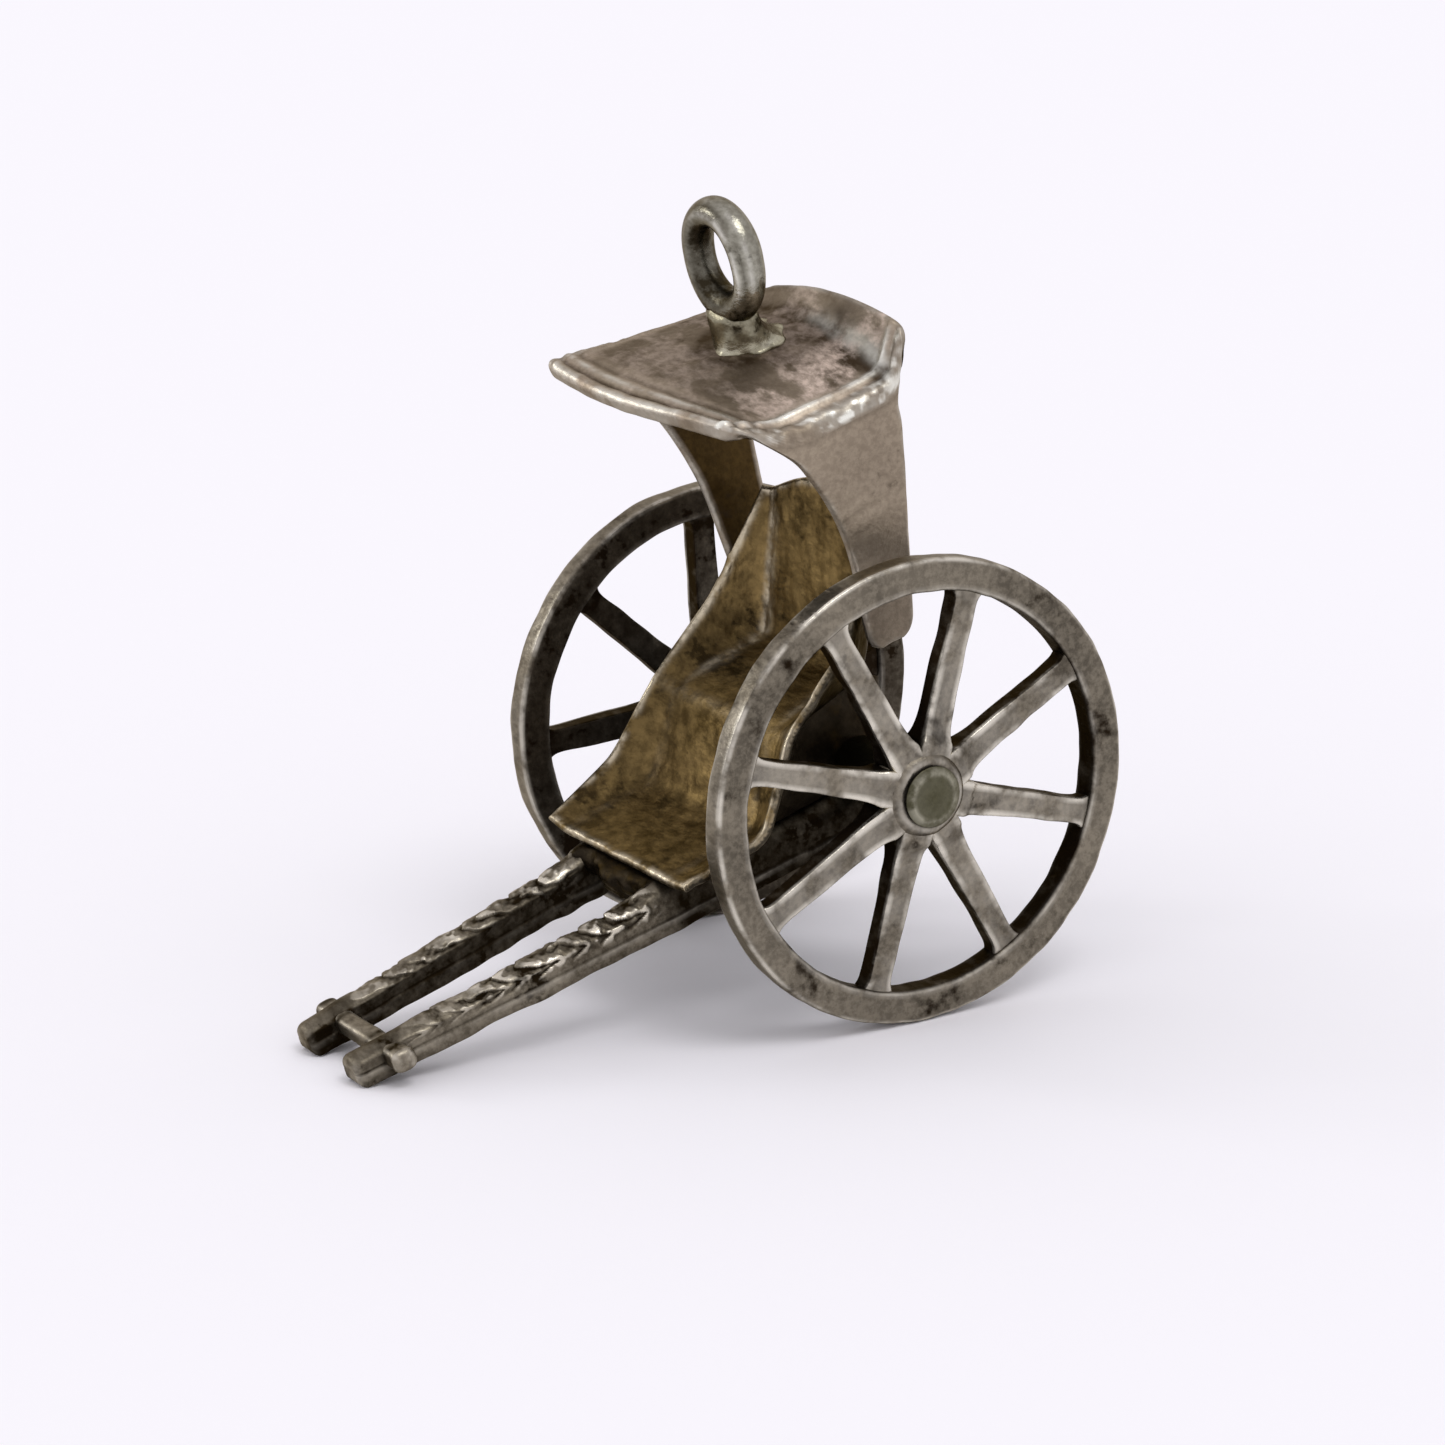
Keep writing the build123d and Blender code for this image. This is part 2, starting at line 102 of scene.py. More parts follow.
def skin(name, patches):
    """Joins grids of points into one mesh. A patch is its grid, whether rows and columns close on themselves, and
    its marks from 0 to 1: the rubbed and highlit mark where handling keeps it bright and where highlights are
    painted, the tarnish and shade mark where tarnish gathers and where shade is painted, inside where it is gilt,
    veined where the tarnish has worn through in veins. Points closer than the weld, in metres, become one."""
    weld = 2e-7
    points, faces, marks, start = [], [], {"rub": [], "hollow": [], "inside": [], "veined": []}, 0
    for grid, rows_close, columns_close, shade in patches:
        index = start + np.arange(grid[..., 0].size).reshape(grid.shape[:2])
        start += index.size
        for mark, values in marks.items():
            values.append(np.broadcast_to(shade.get(mark, 0.0), index.shape).ravel())
        if rows_close:
            index = np.vstack([index, index[:1]])
        if columns_close:
            index = np.hstack([index, index[:, :1]])
        corners = [index[:-1, :-1], index[1:, :-1], index[1:, 1:], index[:-1, 1:]]
        faces.append(np.stack(corners, axis=-1).reshape(-1, 4))
        points.append(grid.reshape(-1, 3))
    mesh = bpy.data.meshes.new(name)
    mesh.from_pydata(np.concatenate(points).tolist(), [], np.concatenate(faces).tolist())
    for mark, values in marks.items():
        layer = mesh.attributes.new(mark, "FLOAT", "POINT")
        layer.data.foreach_set("value", np.clip(np.concatenate(values), 0, 1).astype(np.float32))
    work = bmesh.new()
    work.from_mesh(mesh)
    bmesh.ops.remove_doubles(work, verts=work.verts, dist=weld)
    bmesh.ops.recalc_face_normals(work, faces=work.faces)
    work.to_mesh(mesh)
    work.free()
    mesh.shade_smooth()
    piece = bpy.data.objects.new(name, mesh)
    bpy.context.scene.collection.objects.link(piece)
    return piece


def node(tree, kind, values=None, **settings):
    """Adds a shader node. Settings are its properties, and values its inputs: numbers, colours or other sockets."""
    made = tree.nodes.new(kind)
    for key, value in settings.items():
        setattr(made, key, value)
    for key, value in (values or {}).items():
        if isinstance(value, bpy.types.NodeSocket):
            tree.links.new(value, made.inputs[key])
        else:
            made.inputs[key].default_value = value
    return made


def shared_effect(name, inputs, outputs):
    """Starts a shader node group with number sockets, and gives its tree, its inputs and its output node."""
    tree = bpy.data.node_groups.new(name, "ShaderNodeTree")
    for socket in inputs:
        tree.interface.new_socket(socket, in_out="INPUT", socket_type="NodeSocketFloat")
    for socket in outputs:
        tree.interface.new_socket(socket, in_out="OUTPUT", socket_type="NodeSocketFloat")
    return tree, node(tree, "NodeGroupInput").outputs, node(tree, "NodeGroupOutput")


def maths(tree, operation, *values, clamp=False):
    """One step of arithmetic between sockets or numbers."""
    return node(tree, "ShaderNodeMath", dict(enumerate(values)), operation=operation, use_clamp=clamp).outputs[0]


def ramp(tree, value, low, high):
    """Eases a value from 0 at low to 1 at high."""
    limits = {"Value": value, "From Min": low, "From Max": high}
    return node(tree, "ShaderNodeMapRange", limits, interpolation_type="SMOOTHSTEP").outputs[0]


def grain(tree, place, scale, detail, roughness):
    """Cloudy noise from 0 to 1 with so many cells to the metre."""
    values = {"Vector": place, "Scale": scale, "Detail": detail, "Roughness": roughness}
    return node(tree, "ShaderNodeTexNoise", values).outputs[0]


def drawn_across(tree):
    """The place on the charm, with y shortened so that marks are longer across it, the way it is wiped."""
    shortened = (1, 0.6, 1)
    place = node(tree, "ShaderNodeTexCoord").outputs["Object"]
    return node(tree, "ShaderNodeVectorMath", {0: place, 1: shortened}, operation="MULTIPLY").outputs[0]


# Tarnish and painted shade: dark patches where the noise is high, where tarnish gathers in the hollows and where
# shade is painted, as the mesh marks them, with a broad cloud of tone and thin veins where the tarnish has worn
# through
FINE_SCALE, CLOUD_SCALE, VEIN_SCALE = 4.7, 0.55, 1.5
BROAD_SHARE, FINE_SHARE = 0.65, 0.35
BARE_EDGE, COVER_SHIFT = 0.72, -0.44
FILM_RAMP = (-0.05, 0.09)
CLOUD_RAMP = (0.36, 0.64)
VEIN_HALF = 0.1
tarnish_film, given, put = shared_effect(
    "tarnish_film", ("Scale", "Cover", "Hollow", "Speck"), ("Film", "Cloud", "Veins")
)
place = drawn_across(tarnish_film)
fine_scale, cloud_scale, vein_scale = (
    maths(tarnish_film, "MULTIPLY", given["Scale"], times) for times in (FINE_SCALE, CLOUD_SCALE, VEIN_SCALE)
)
broad = grain(tarnish_film, place, given["Scale"], detail=7, roughness=0.62)
fine = grain(tarnish_film, place, fine_scale, detail=5, roughness=0.6)
mixed = maths(tarnish_film, "MULTIPLY_ADD", broad, BROAD_SHARE, maths(tarnish_film, "MULTIPLY", fine, FINE_SHARE))
edge = maths(tarnish_film, "MULTIPLY_ADD", given["Cover"], COVER_SHIFT, BARE_EDGE)
spread = ramp(tarnish_film, maths(tarnish_film, "SUBTRACT", mixed, edge), *FILM_RAMP)
gathered_and_shaded = maths(tarnish_film, "MULTIPLY", given["Hollow"], maths(tarnish_film, "MULTIPLY_ADD", fine, 1.25, 0.35))
film_and_shade = maths(tarnish_film, "ADD", spread, gathered_and_shaded, clamp=True)
clouds = ramp(tarnish_film, grain(tarnish_film, place, cloud_scale, detail=4, roughness=0.5), *CLOUD_RAMP)
flecks = ramp(tarnish_film, grain(tarnish_film, place, given["Speck"], detail=5, roughness=0.65), *CLOUD_RAMP)
cloud = maths(tarnish_film, "MULTIPLY_ADD", clouds, 0.5, maths(tarnish_film, "MULTIPLY", flecks, 0.5))
folds = grain(tarnish_film, place, vein_scale, detail=6, roughness=0.6)
off_middle = maths(tarnish_film, "ABSOLUTE", maths(tarnish_film, "SUBTRACT", folds, 0.5))
lines = maths(tarnish_film, "SUBTRACT", 1.0, ramp(tarnish_film, off_middle, 0.0, VEIN_HALF))
veins = maths(tarnish_film, "MULTIPLY", lines, maths(tarnish_film, "MULTIPLY_ADD", flecks, 0.5, 0.5))
for output, value in (("Film", film_and_shade), ("Cloud", cloud), ("Veins", veins)):
    tarnish_film.links.new(value, put.inputs[output])

# Rubbed bright and painted highlights: worn edges and ridges, and highlights painted where the mesh marks them,
# broken up so that they don't run as an even line
BREAK_RAMP = (0.34, 0.62)
rubbed_bright, given, put = shared_effect("rubbed_bright", ("Rub", "Scale"), ("Bright",))
place = node(rubbed_bright, "ShaderNodeTexCoord").outputs["Object"]
breaks = ramp(rubbed_bright, grain(rubbed_bright, place, given["Scale"], detail=4, roughness=0.6), *BREAK_RAMP)
rubbed_bright.links.new(maths(rubbed_bright, "MULTIPLY", given["Rub"], breaks, clamp=True), put.inputs["Bright"])

# Worked surface: the fine unevenness of cast and hand-worked silver, with small casting pits
PIT_SCALE = 0.3
PIT_RAMP = (0.03, 0.2)
worked_surface, given, put = shared_effect("worked_surface", ("Scale", "Pits"), ("Height",))
place = drawn_across(worked_surface)
cell_scale = maths(worked_surface, "MULTIPLY", given["Scale"], PIT_SCALE)
cells = node(worked_surface, "ShaderNodeTexVoronoi", {"Vector": place, "Scale": cell_scale}).outputs["Distance"]
rough = grain(worked_surface, place, given["Scale"], detail=6, roughness=0.58)
pitted = maths(worked_surface, "MULTIPLY_ADD", ramp(worked_surface, cells, *PIT_RAMP), given["Pits"], rough)
worked_surface.links.new(pitted, put.inputs["Height"])

RUB_SCALE = 1.7
RUBBED_ROUGHNESS = 0.24
RELIEF_STRENGTH = 0.75
EDGE_TINT = (0.6, 0.55, 0.47)


def aged_metal_with_painted_light(
    name,
    light,
    deep,
    film_and_shade,
    bright,
    patch,
    cover,
    gloss,
    dull,
    pits,
    gilt=None,
    veined=None,
    speck=4600,
    tooth=5200,
    depth=0.00003,
):
    """Silver that was never evenly cleaned, with light and shade painted in: two tones in clouds, a dark tarnish in
    patches, in the hollows and where shade is painted, bright rubbed ridges and painted highlights where they are
    marked. Patch, speck and tooth are how many patches, flecks and grains there are to the metre, cover how far the
    tarnish spreads, gloss and dull the roughness without it and under it, pits and depth the relief. Gilt is a pair
    of tones for the side marked inside, and veined a tone for veins where it is marked so."""
    material = bpy.data.materials.new(name)
    material.use_nodes = True
    tree = material.node_tree
    shader = tree.nodes["Principled BSDF"]

    def mark(attribute):
        """A mark of the mesh, from 0 to 1."""
        return node(tree, "ShaderNodeAttribute", attribute_name=attribute).outputs["Fac"]

    def blend(share, a, b):
        """A colour between a and b by the share."""
        return node(tree, "ShaderNodeMix", {0: share, 6: a, 7: b}, data_type="RGBA").outputs[2]

    def between(share, a, b):
        """A number between a and b by the share."""
        return node(tree, "ShaderNodeMix", {0: share, 2: a, 3: b}).outputs[0]

    def effect(group, **values):
        """Uses a shared effect. Its inputs are numbers, or the names of marks."""
        made = node(tree, "ShaderNodeGroup", node_tree=group)
        for key, value in values.items():
            if isinstance(value, str):
                tree.links.new(mark(value), made.inputs[key])
            else:
                made.inputs[key].default_value = value
        return made.outputs

    aged = effect(tarnish_film, Scale=patch, Cover=cover, Hollow="hollow", Speck=speck)
    # The bright share: rubbed wear and painted highlights.
    worn = effect(rubbed_bright, Scale=patch * RUB_SCALE, Rub="rub")["Bright"]
    grained = effect(worked_surface, Scale=tooth, Pits=pits)["Height"]
    tone = blend(aged["Cloud"], (*deep, 1), (*light, 1))
    if gilt:
        tone = blend(mark("inside"), tone, blend(aged["Cloud"], (*gilt[1], 1), (*gilt[0], 1)))
    tone = blend(aged["Film"], tone, (*film_and_shade, 1))
    if veined:
        tone = blend(maths(tree, "MULTIPLY", aged["Veins"], mark("veined")), tone, (*veined, 1))
    roughness = between(worn, between(aged["Film"], gloss, dull), RUBBED_ROUGHNESS)
    relief = node(tree, "ShaderNodeBump", {"Strength": RELIEF_STRENGTH, "Distance": depth, "Height": grained})
    tree.links.new(blend(worn, tone, (*bright, 1)), shader.inputs["Base Color"])
    tree.links.new(roughness, shader.inputs["Roughness"])
    tree.links.new(relief.outputs["Normal"], shader.inputs["Normal"])
    shader.inputs["Metallic"].default_value = 1.0
    shader.inputs["Specular Tint"].default_value = (*EDGE_TINT, 1)
    return material


def settle(piece, material, body, slot, *nodes):
    """Gives a piece its metal and its body, and lets it stand for its solids. The slot is not used."""
    piece.data.materials.append(material)
    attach(piece, body)
    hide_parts(*nodes)


shoulder = HALF_TRACK - HUB_HALF - END_PLAY
head = HALF_TRACK + HUB_HALF + END_PLAY
half_axle = np.array(
    [
        (AXLE_RADIUS, shoulder),
        (JOURNAL_RADIUS, shoulder),
        (JOURNAL_RADIUS, head),
        (RIVET_RADIUS - 0.03, head),
        (RIVET_RADIUS, head + 0.06),
        (RIVET_RADIUS - 0.3, head + 0.15),
        (0, head + RIVET_HEIGHT),
    ]
)
axle_profile = np.concatenate([half_axle[::-1] * (1, -1), half_axle])
half_ease = np.array([0.04, 0.03, 0.03, 0.03, 0.05, 0.07, 0])
axle_outline = eased(axle_profile, np.concatenate([half_ease[::-1], half_ease]))
radius, side = axle_outline[:, :1], axle_outline[:, 1:]
rivet_foot = stripe(abs(side), head, 0.05) * (radius > 0.8)
rivet_edge = stripe(radius, 0.82, 0.13) * (abs(side) > head + 0.05)
# Between the rivet heads the axle runs under the body: darkened there as painted shade.
shaded_between_rivets = abs(side) < head - 0.1
shade = {"hollow": 0.4 * rivet_foot + 0.75 * shaded_between_rivets, "rub": 0.8 * rivet_edge}
axle = skin("axle_rod", [(lathe(radius, side, AXLE_TURNS), False, True, shade)])
rivet_silver = aged_metal_with_painted_light(
    "rivet_silver",
    light=(0.09, 0.085, 0.05),
    deep=(0.052, 0.049, 0.028),
    film_and_shade=(0.018, 0.014, 0.007),
    bright=(0.48, 0.46, 0.36),
    patch=700,
    cover=0.22,
    gloss=0.36,
    dull=0.5,
    pits=0.1,
)
settle(axle, rivet_silver, "chassis", "axle_silver", "axle")

# Wheels: each is one silver casting, a flat rim with eight spokes that widen into the rim and run up onto the hub.
# The outer faces are rubbed, with painted highlights along the rim's outer edges and tread. The openings were never
# polished and stay nearly black, and the faces towards the body are darkened both by tarnish and by painted shade.
WHEEL_RADIUS = 7.5
RIM_INSIDE = 6.38
RIM_HALF = 0.475
RIM_INNER_EASE, RIM_OUTER_EASE = 0.14, 0.22
RIM_TURNS = 288
HUB_RADIUS = 1.62
HUB_FACE_RADIUS = 1.17
HUB_WAIST_HALF = 0.3
HUB_TURNS = 120
BORE = 0.75
SPOKES = 8
SPOKE_FROM, SPOKE_TO = 1.1, 6.75
SPOKE_HALF_WIDTH = 0.53
SPOKE_TAPER = 0.018
SPOKE_HALF_DEPTH = 0.35
SPOKE_ROWS = 72
cast_silver = aged_metal_with_painted_light(
    "cast_silver",
    light=(0.25, 0.22, 0.167),
    deep=(0.09, 0.078, 0.059),
    film_and_shade=(0.017, 0.011, 0.006),
    bright=(0.72, 0.68, 0.58),
    patch=430,
    cover=0.32,
    gloss=0.36,
    dull=0.55,
    pits=0.7,
)


def sloped(value, start, width):
    """A slope: 0 up to the start, rising evenly to 1 over the width. A negative width rises the other way."""
    return np.clip((value - start) / width, 0, 1)


def finer(outline, steps):
    """Puts more points on a closed outline: each side is divided evenly into so many steps."""
    share = np.linspace(0, 1, steps, endpoint=False)[None, :, None]
    return (outline[:, None] * (1 - share) + np.roll(outline, -1, 0)[:, None] * share).reshape(-1, 2)


def rim_patch(outward, seed):
    """Rim: a rounded rectangle of radius against width, turned about the axle, thinned by up to 0.06 mm of lumps."""
    corners = [(RIM_INSIDE, -RIM_HALF), (WHEEL_RADIUS, -RIM_HALF), (WHEEL_RADIUS, RIM_HALF), (RIM_INSIDE, RIM_HALF)]
    outline = finer(eased(corners, (RIM_INNER_EASE, RIM_OUTER_EASE, RIM_OUTER_EASE, RIM_INNER_EASE)), 6)
    out, side = outline[:, :1], outline[:, 1:]
    plain = lathe(out, side, RIM_TURNS)
    thin = 1 - 0.035 * (1 + lumps(plain, 2.4, seed)) - 0.022 * (1 + lumps(plain, 0.9, seed + 1))
    middle = (RIM_INSIDE + WHEEL_RADIUS) / 2
    grid = lathe(middle + (out - middle) * thin, side * thin, RIM_TURNS)
    # Bright marks on the rim's outer edges and tread: worn edges plus painted highlights, strongest in two lines
    # along the tread.
    edges = 0.8 * stripe(out, WHEEL_RADIUS - 0.07, 0.06) + 0.5 * stripe(out, RIM_INSIDE + 0.08, 0.07)
    tread = (0.1 + 0.4 * stripe(abs(side), 0.32, 0.06)) * (out > WHEEL_RADIUS - 0.06)
    rub = edges * sloped(abs(side), 0.3, 0.1) + tread
    openings = sloped(out, RIM_INSIDE + 0.1, -0.1)
    # The face towards the body: darker with tarnish and with painted shade, and its bright marks halved.
    body_side = sloped(-outward * side, 0.35, 0.1)
    return grid, True, True, {"rub": rub * (1 - 0.5 * body_side), "hollow": 1.1 * openings + 0.75 * body_side}


def hub_patch(outward, seed):
    """Hub: a turned boss with sloping shoulders, closed round the bore and made uneven by up to 0.03 mm."""
    half = np.array([(HUB_RADIUS, HUB_WAIST_HALF), (HUB_FACE_RADIUS, HUB_HALF), (BORE, HUB_HALF)])
    corners = np.concatenate([half[::-1] * (1, -1), half])
    outline = eased(corners, (0.05, 0.16, 0.2, 0.2, 0.16, 0.05), 8)
    out, side = outline[:, :1], outline[:, 1:]
    plain = lathe(out, side, HUB_TURNS)
    radius = out - 0.025 * (1 + lumps(plain, 1.1, seed)) * (out > 1)
    grid = lathe(radius, side * (1 - 0.025 * (1 + lumps(plain, 0.9, seed + 1))), HUB_TURNS)
    round_bore = sloped(out, 1.06, -0.08)
    waist = np.clip(1.2 - abs(side) / 0.4, 0, 1) * (out > 1.5)
    # The face towards the body: darker with tarnish and with painted shade.
    body_side = sloped(-outward * side, 0.4, 0.1)
    shade = {"hollow": 0.7 * round_bore + 0.4 * waist + 0.7 * body_side, "rub": 0.5 * stripe(out, 1.13, 0.1)}
    return grid, True, True, shade


def spoke_patch(angle, outward, seed):
    """Spoke: a rounded rectangle carried out along the radius. Its width flares by falling exponentials into the hub
    and the rim, its depth flares up onto the hub, and both ends are closed inside them."""
    out = np.concatenate([[SPOKE_FROM], np.linspace(SPOKE_FROM, SPOKE_TO, SPOKE_ROWS), [SPOKE_TO]])[:, None]
    closed = np.concatenate([[0.0], np.ones(SPOKE_ROWS), [0.0]])[:, None]
    at_hub, at_rim = np.clip(out - HUB_RADIUS, 0, None), np.clip(RIM_INSIDE - out, 0, None)
    width = SPOKE_HALF_WIDTH - SPOKE_TAPER * out + 0.1 * np.exp(-at_hub / 0.25) + 0.15 * np.exp(-at_rim / 0.15)
    depth = SPOKE_HALF_DEPTH + 0.26 * np.exp(-at_hub / 0.35)
    outline = finer(eased([(-1, -1), (1, -1), (1, 1), (-1, 1)], 0.2), 5)

    def laid(thin):
        """The spoke at its angle, with its width and depth thinned."""
        wide, deep = outline[:, 0] * width * closed * thin, outline[:, 1] * depth * closed * thin
        return level(out * np.cos(angle) - wide * np.sin(angle), deep, out * np.sin(angle) + wide * np.cos(angle))

    grid = laid(1 - 0.045 * (1 + lumps(laid(1), 1.7, seed)))
    face = outward * outline[:, 1]
    flank = sloped(abs(outline[:, 0]), 0.93, 0.06)
    corner = sloped(abs(outline).sum(1), 1.7, 0.1) * (face > 0.7)
    # The side towards the body: darker with tarnish and with painted shade.
    body_side = sloped(-face, 0.8, 0.1)
    roots = 0.35 * stripe(out, 1.9, 0.25) + 0.3 * stripe(out, 6.2, 0.25)
    rub = corner * (0.6 + 0.4 * stripe(out, 2.2, 0.9)) + 0.2 * (face > 0.9)
    return grid, False, True, {"hollow": 1.1 * flank + 0.75 * body_side + roots, "rub": rub}


for hand, outward, first_angle, seed in (("left", 1, 105.5, 11), ("right", -1, 86.5, 41)):
    angles = np.radians(first_angle + np.arange(SPOKES) * 360 / SPOKES)
    patches = [rim_patch(outward, seed), hub_patch(outward, seed + 2)]
    patches += [spoke_patch(angle, outward, seed + 5 + i) for i, angle in enumerate(angles)]
    across_track = np.array([0, outward * HALF_TRACK, 0]) / MM_PER_METRE
    wheel = skin("spoked_wheel_" + hand, [(grid + across_track, *rest) for grid, *rest in patches])
    settle(wheel, cast_silver, "wheel_" + hand, "cast_silver", "wheel_" + hand)

# Shafts: two cast bars that draw together towards the tips, each with a plain band below and an upper part chased
# with overlapping leaves. They run back under the body and past the axle, and end in a blunt rounded nose.
SHAFT_REACH = 18.95
SHAFT_TAIL = 1.7
SHAFT_DROP = 2.2
NOSE_ROUND = 0.3
BODY_FRONT = 7.76
STEP_END = 9.36
BODY_HEIGHT, STEP_HEIGHT, TIP_HEIGHT = 1.75, 1.5, 1.05
AXLE_SPREAD, TIP_SPREAD = 2.78, 1.62
BAND_HEIGHT = 0.52
UPPER_HALF_WIDTH = 0.55
LEAF_PITCH = 1.05
LEAF_DEPTH = 0.22
TAIL_ROWS, CHASED_ROWS, NOSE_ROWS, UPPER_COLUMNS = 60, 520, 14, 34
CROSSBAR_X = 17.6
chased_silver = aged_metal_with_painted_light(
    "chased_silver",
    light=(0.25, 0.22, 0.165),
    deep=(0.075, 0.062, 0.043),
    film_and_shade=(0.014, 0.009, 0.004),
    bright=(0.68, 0.63, 0.52),
    patch=520,
    cover=0.36,
    gloss=0.4,
    dull=0.55,
    pits=0.6,
)


def capped(grid):
    """Closes both ends of a tube of rows: a last row with all points at the middle of the end."""
    ends = [grid[[i]].mean(axis=1, keepdims=True) + 0 * grid[[i]] for i in (0, -1)]
    return np.concatenate([ends[0], grid, ends[1]])


def capped_mark(values):
    """The marks of a tube whose ends are closed: those of its first and last row, once more."""
    return np.concatenate([values[:1], values, values[-1:]])


def shaft_patch(hand, seed):
    """Shaft: half an outline of side against rise, mirrored and carried along x. The leaves are a sawtooth of x that
    sweeps forward with the distance above and below the middle of the side, and wears shallower towards the tip.
    They cover the top and the outer side, and the inner side stays almost plain."""
    straight = np.linspace(7.63, SHAFT_REACH - NOSE_ROUND - 0.05, CHASED_ROWS)
    nose = SHAFT_REACH - NOSE_ROUND + NOSE_ROUND * np.sin(np.linspace(0.02, np.pi / 2, NOSE_ROWS))
    x = np.concatenate([np.linspace(-SHAFT_TAIL, 7.6, TAIL_ROWS), straight, nose])[:, None]
    stations = (-SHAFT_TAIL, BODY_FRONT, STEP_END, SHAFT_REACH)
    height = np.interp(x, stations, (BODY_HEIGHT, BODY_HEIGHT, STEP_HEIGHT, TIP_HEIGHT))
    spread = AXLE_SPREAD - (AXLE_SPREAD - TIP_SPREAD) * x / SHAFT_REACH
    band = [(0, 0), (0.3, 0), (0.54, 0), (0.6, 0.06), (0.6, 0.25), (0.6, 0.44), (0.585, 0.49)]
    band = np.array([*band, (UPPER_HALF_WIDTH, BAND_HEIGHT)])
    up = np.linspace(0, 1, UPPER_COLUMNS)[1:]
    half_side = np.concatenate([band[:, 0], UPPER_HALF_WIDTH - UPPER_HALF_WIDTH * sloped(up, 0.42, 0.58) ** 1.9])
    half_base = np.concatenate([band[:, 1], np.full(len(up), BAND_HEIGHT)])
    half_climb = np.concatenate([np.zeros(len(band)), 1 - (1 - up) ** 1.4])
    side = np.concatenate([half_side, -half_side[-2:0:-1]])
    base, climb = (np.concatenate([half, half[-2:0:-1]]) for half in (half_base, half_climb))
    rise = base + climb * (height - BAND_HEIGHT)
    plain = parked(x, hand * spread + side, rise - SHAFT_DROP)
    reach = sloped(x, 7.9, 0.7) * sloped(x, 17.3, -0.6)
    worn = np.clip(1.35 - (x - 9) / 9 + 0.35 * lumps(plain, 1.5, seed + 1), 0.35, 1)
    inner_side = (hand * side < 0) * sloped(climb, 0.8, -0.2)
    chased = sloped(climb, 0.2, 0.2) * (1 - 0.85 * inner_side) * reach * worn
    sweep = (x - 2.3 * abs(climb - 0.55)) / LEAF_PITCH
    sweep = sweep + 0.3 * lumps(plain, 1.4, seed + 2) + 0.12 * lumps(plain, 0.45, seed + 3)
    step = sweep - np.floor(sweep)
    leaf = sloped(step, 0.22, 0.7) ** 0.8 + sloped(step, 0.2, -0.08)
    leaf = np.clip(leaf + 0.25 * lumps(plain, 0.3, seed + 4), 0, 1)
    carve = chased * LEAF_DEPTH * (1 - leaf)
    past = np.clip(x - (SHAFT_REACH - NOSE_ROUND), 0, None) / NOSE_ROUND
    blunt = 1 - np.sqrt(np.clip(1 - past**2, 0, 1))
    uneven = 1 - 0.05 * (1 + lumps(plain, 1.1, seed))
    middle = height / 2
    rise = middle + (rise - middle) * (1 - 0.8 * carve) * (1 - blunt * 2 * NOSE_ROUND / height) * uneven
    sides = side * (1 - 0.9 * carve) * (1 - 0.35 * blunt) * uneven
    grid = parked(x, hand * spread + sides, rise - SHAFT_DROP)
    on_band = climb < 0.1
    # The inner side, facing the other shaft: darkened and its bright marks lessened, painted shade.
    shade_between_shafts = inner_side * (1 - 0.4 * chased)
    dark = (
        chased * np.clip(1.2 - leaf / 0.45, 0, 1)
        + 0.25 * sloped(x, 17, 0.3)
        + 0.6 * stripe(rise, BAND_HEIGHT, 0.05) * on_band
        + 0.85 * shade_between_shafts
        # Darker behind the footboard's front edge, under the body: painted shade.
        + 0.85 * sloped(x, 8.3, -1.0)
        + 0.5 * stripe(x, CROSSBAR_X, 0.6)
    )
    bright = 0.95 * chased * sloped(leaf, 0.8, 0.15) + 0.3 * stripe(rise, 0.45, 0.05) * on_band + 0.5 * blunt
    bright = bright * (1 - 0.6 * shade_between_shafts)
    return capped(grid), False, True, {"hollow": capped_mark(dark), "rub": capped_mark(bright)}


for hand, name, seed in ((1, "left", 71), (-1, "right", 83)):
    shaft = skin("chased_shaft_" + name, [shaft_patch(hand, seed)])
    settle(shaft, chased_silver, "chassis", "chased_silver", "shaft_" + name)

# Crossbar: a short squarish silver rod let into both shafts just behind their noses and soldered there. Its ends
# stand out past the shafts, blunt and worn.
CROSSBAR_Z = -1.555
RIGHT_END, LEFT_END = -2.6, 3.0
END_ROUND = 0.25
ROD_HALF_WIDTH, ROD_HALF_HEIGHT = 0.44, 0.41
rounding = END_ROUND * (1 - np.cos(np.linspace(0, np.pi / 2, 12)))
straight = np.linspace(RIGHT_END + 0.3, LEFT_END - 0.3, 60)
along = np.concatenate([RIGHT_END + rounding, straight, (LEFT_END - rounding)[::-1]])[:, None]
from_end = np.clip(np.minimum(along - RIGHT_END, LEFT_END - along) / END_ROUND, 0, 1)
narrow = (0.45 + 0.55 * np.sqrt(1 - (1 - from_end) ** 2)) * (0.84 + 0.16 * np.clip(abs(along) - 1.8, 0, 1))
quarters = np.array([(-1, -1), (1, -1), (1, 1), (-1, 1)])
outline = eased(quarters * (ROD_HALF_WIDTH, ROD_HALF_HEIGHT), 0.36, 8)


def rod(narrow):
    """Crossbar: a rounded rectangle carried along y, narrowed by a share at each place."""
    return parked(CROSSBAR_X + outline[:, 0] * narrow, along, CROSSBAR_Z + outline[:, 1] * narrow)


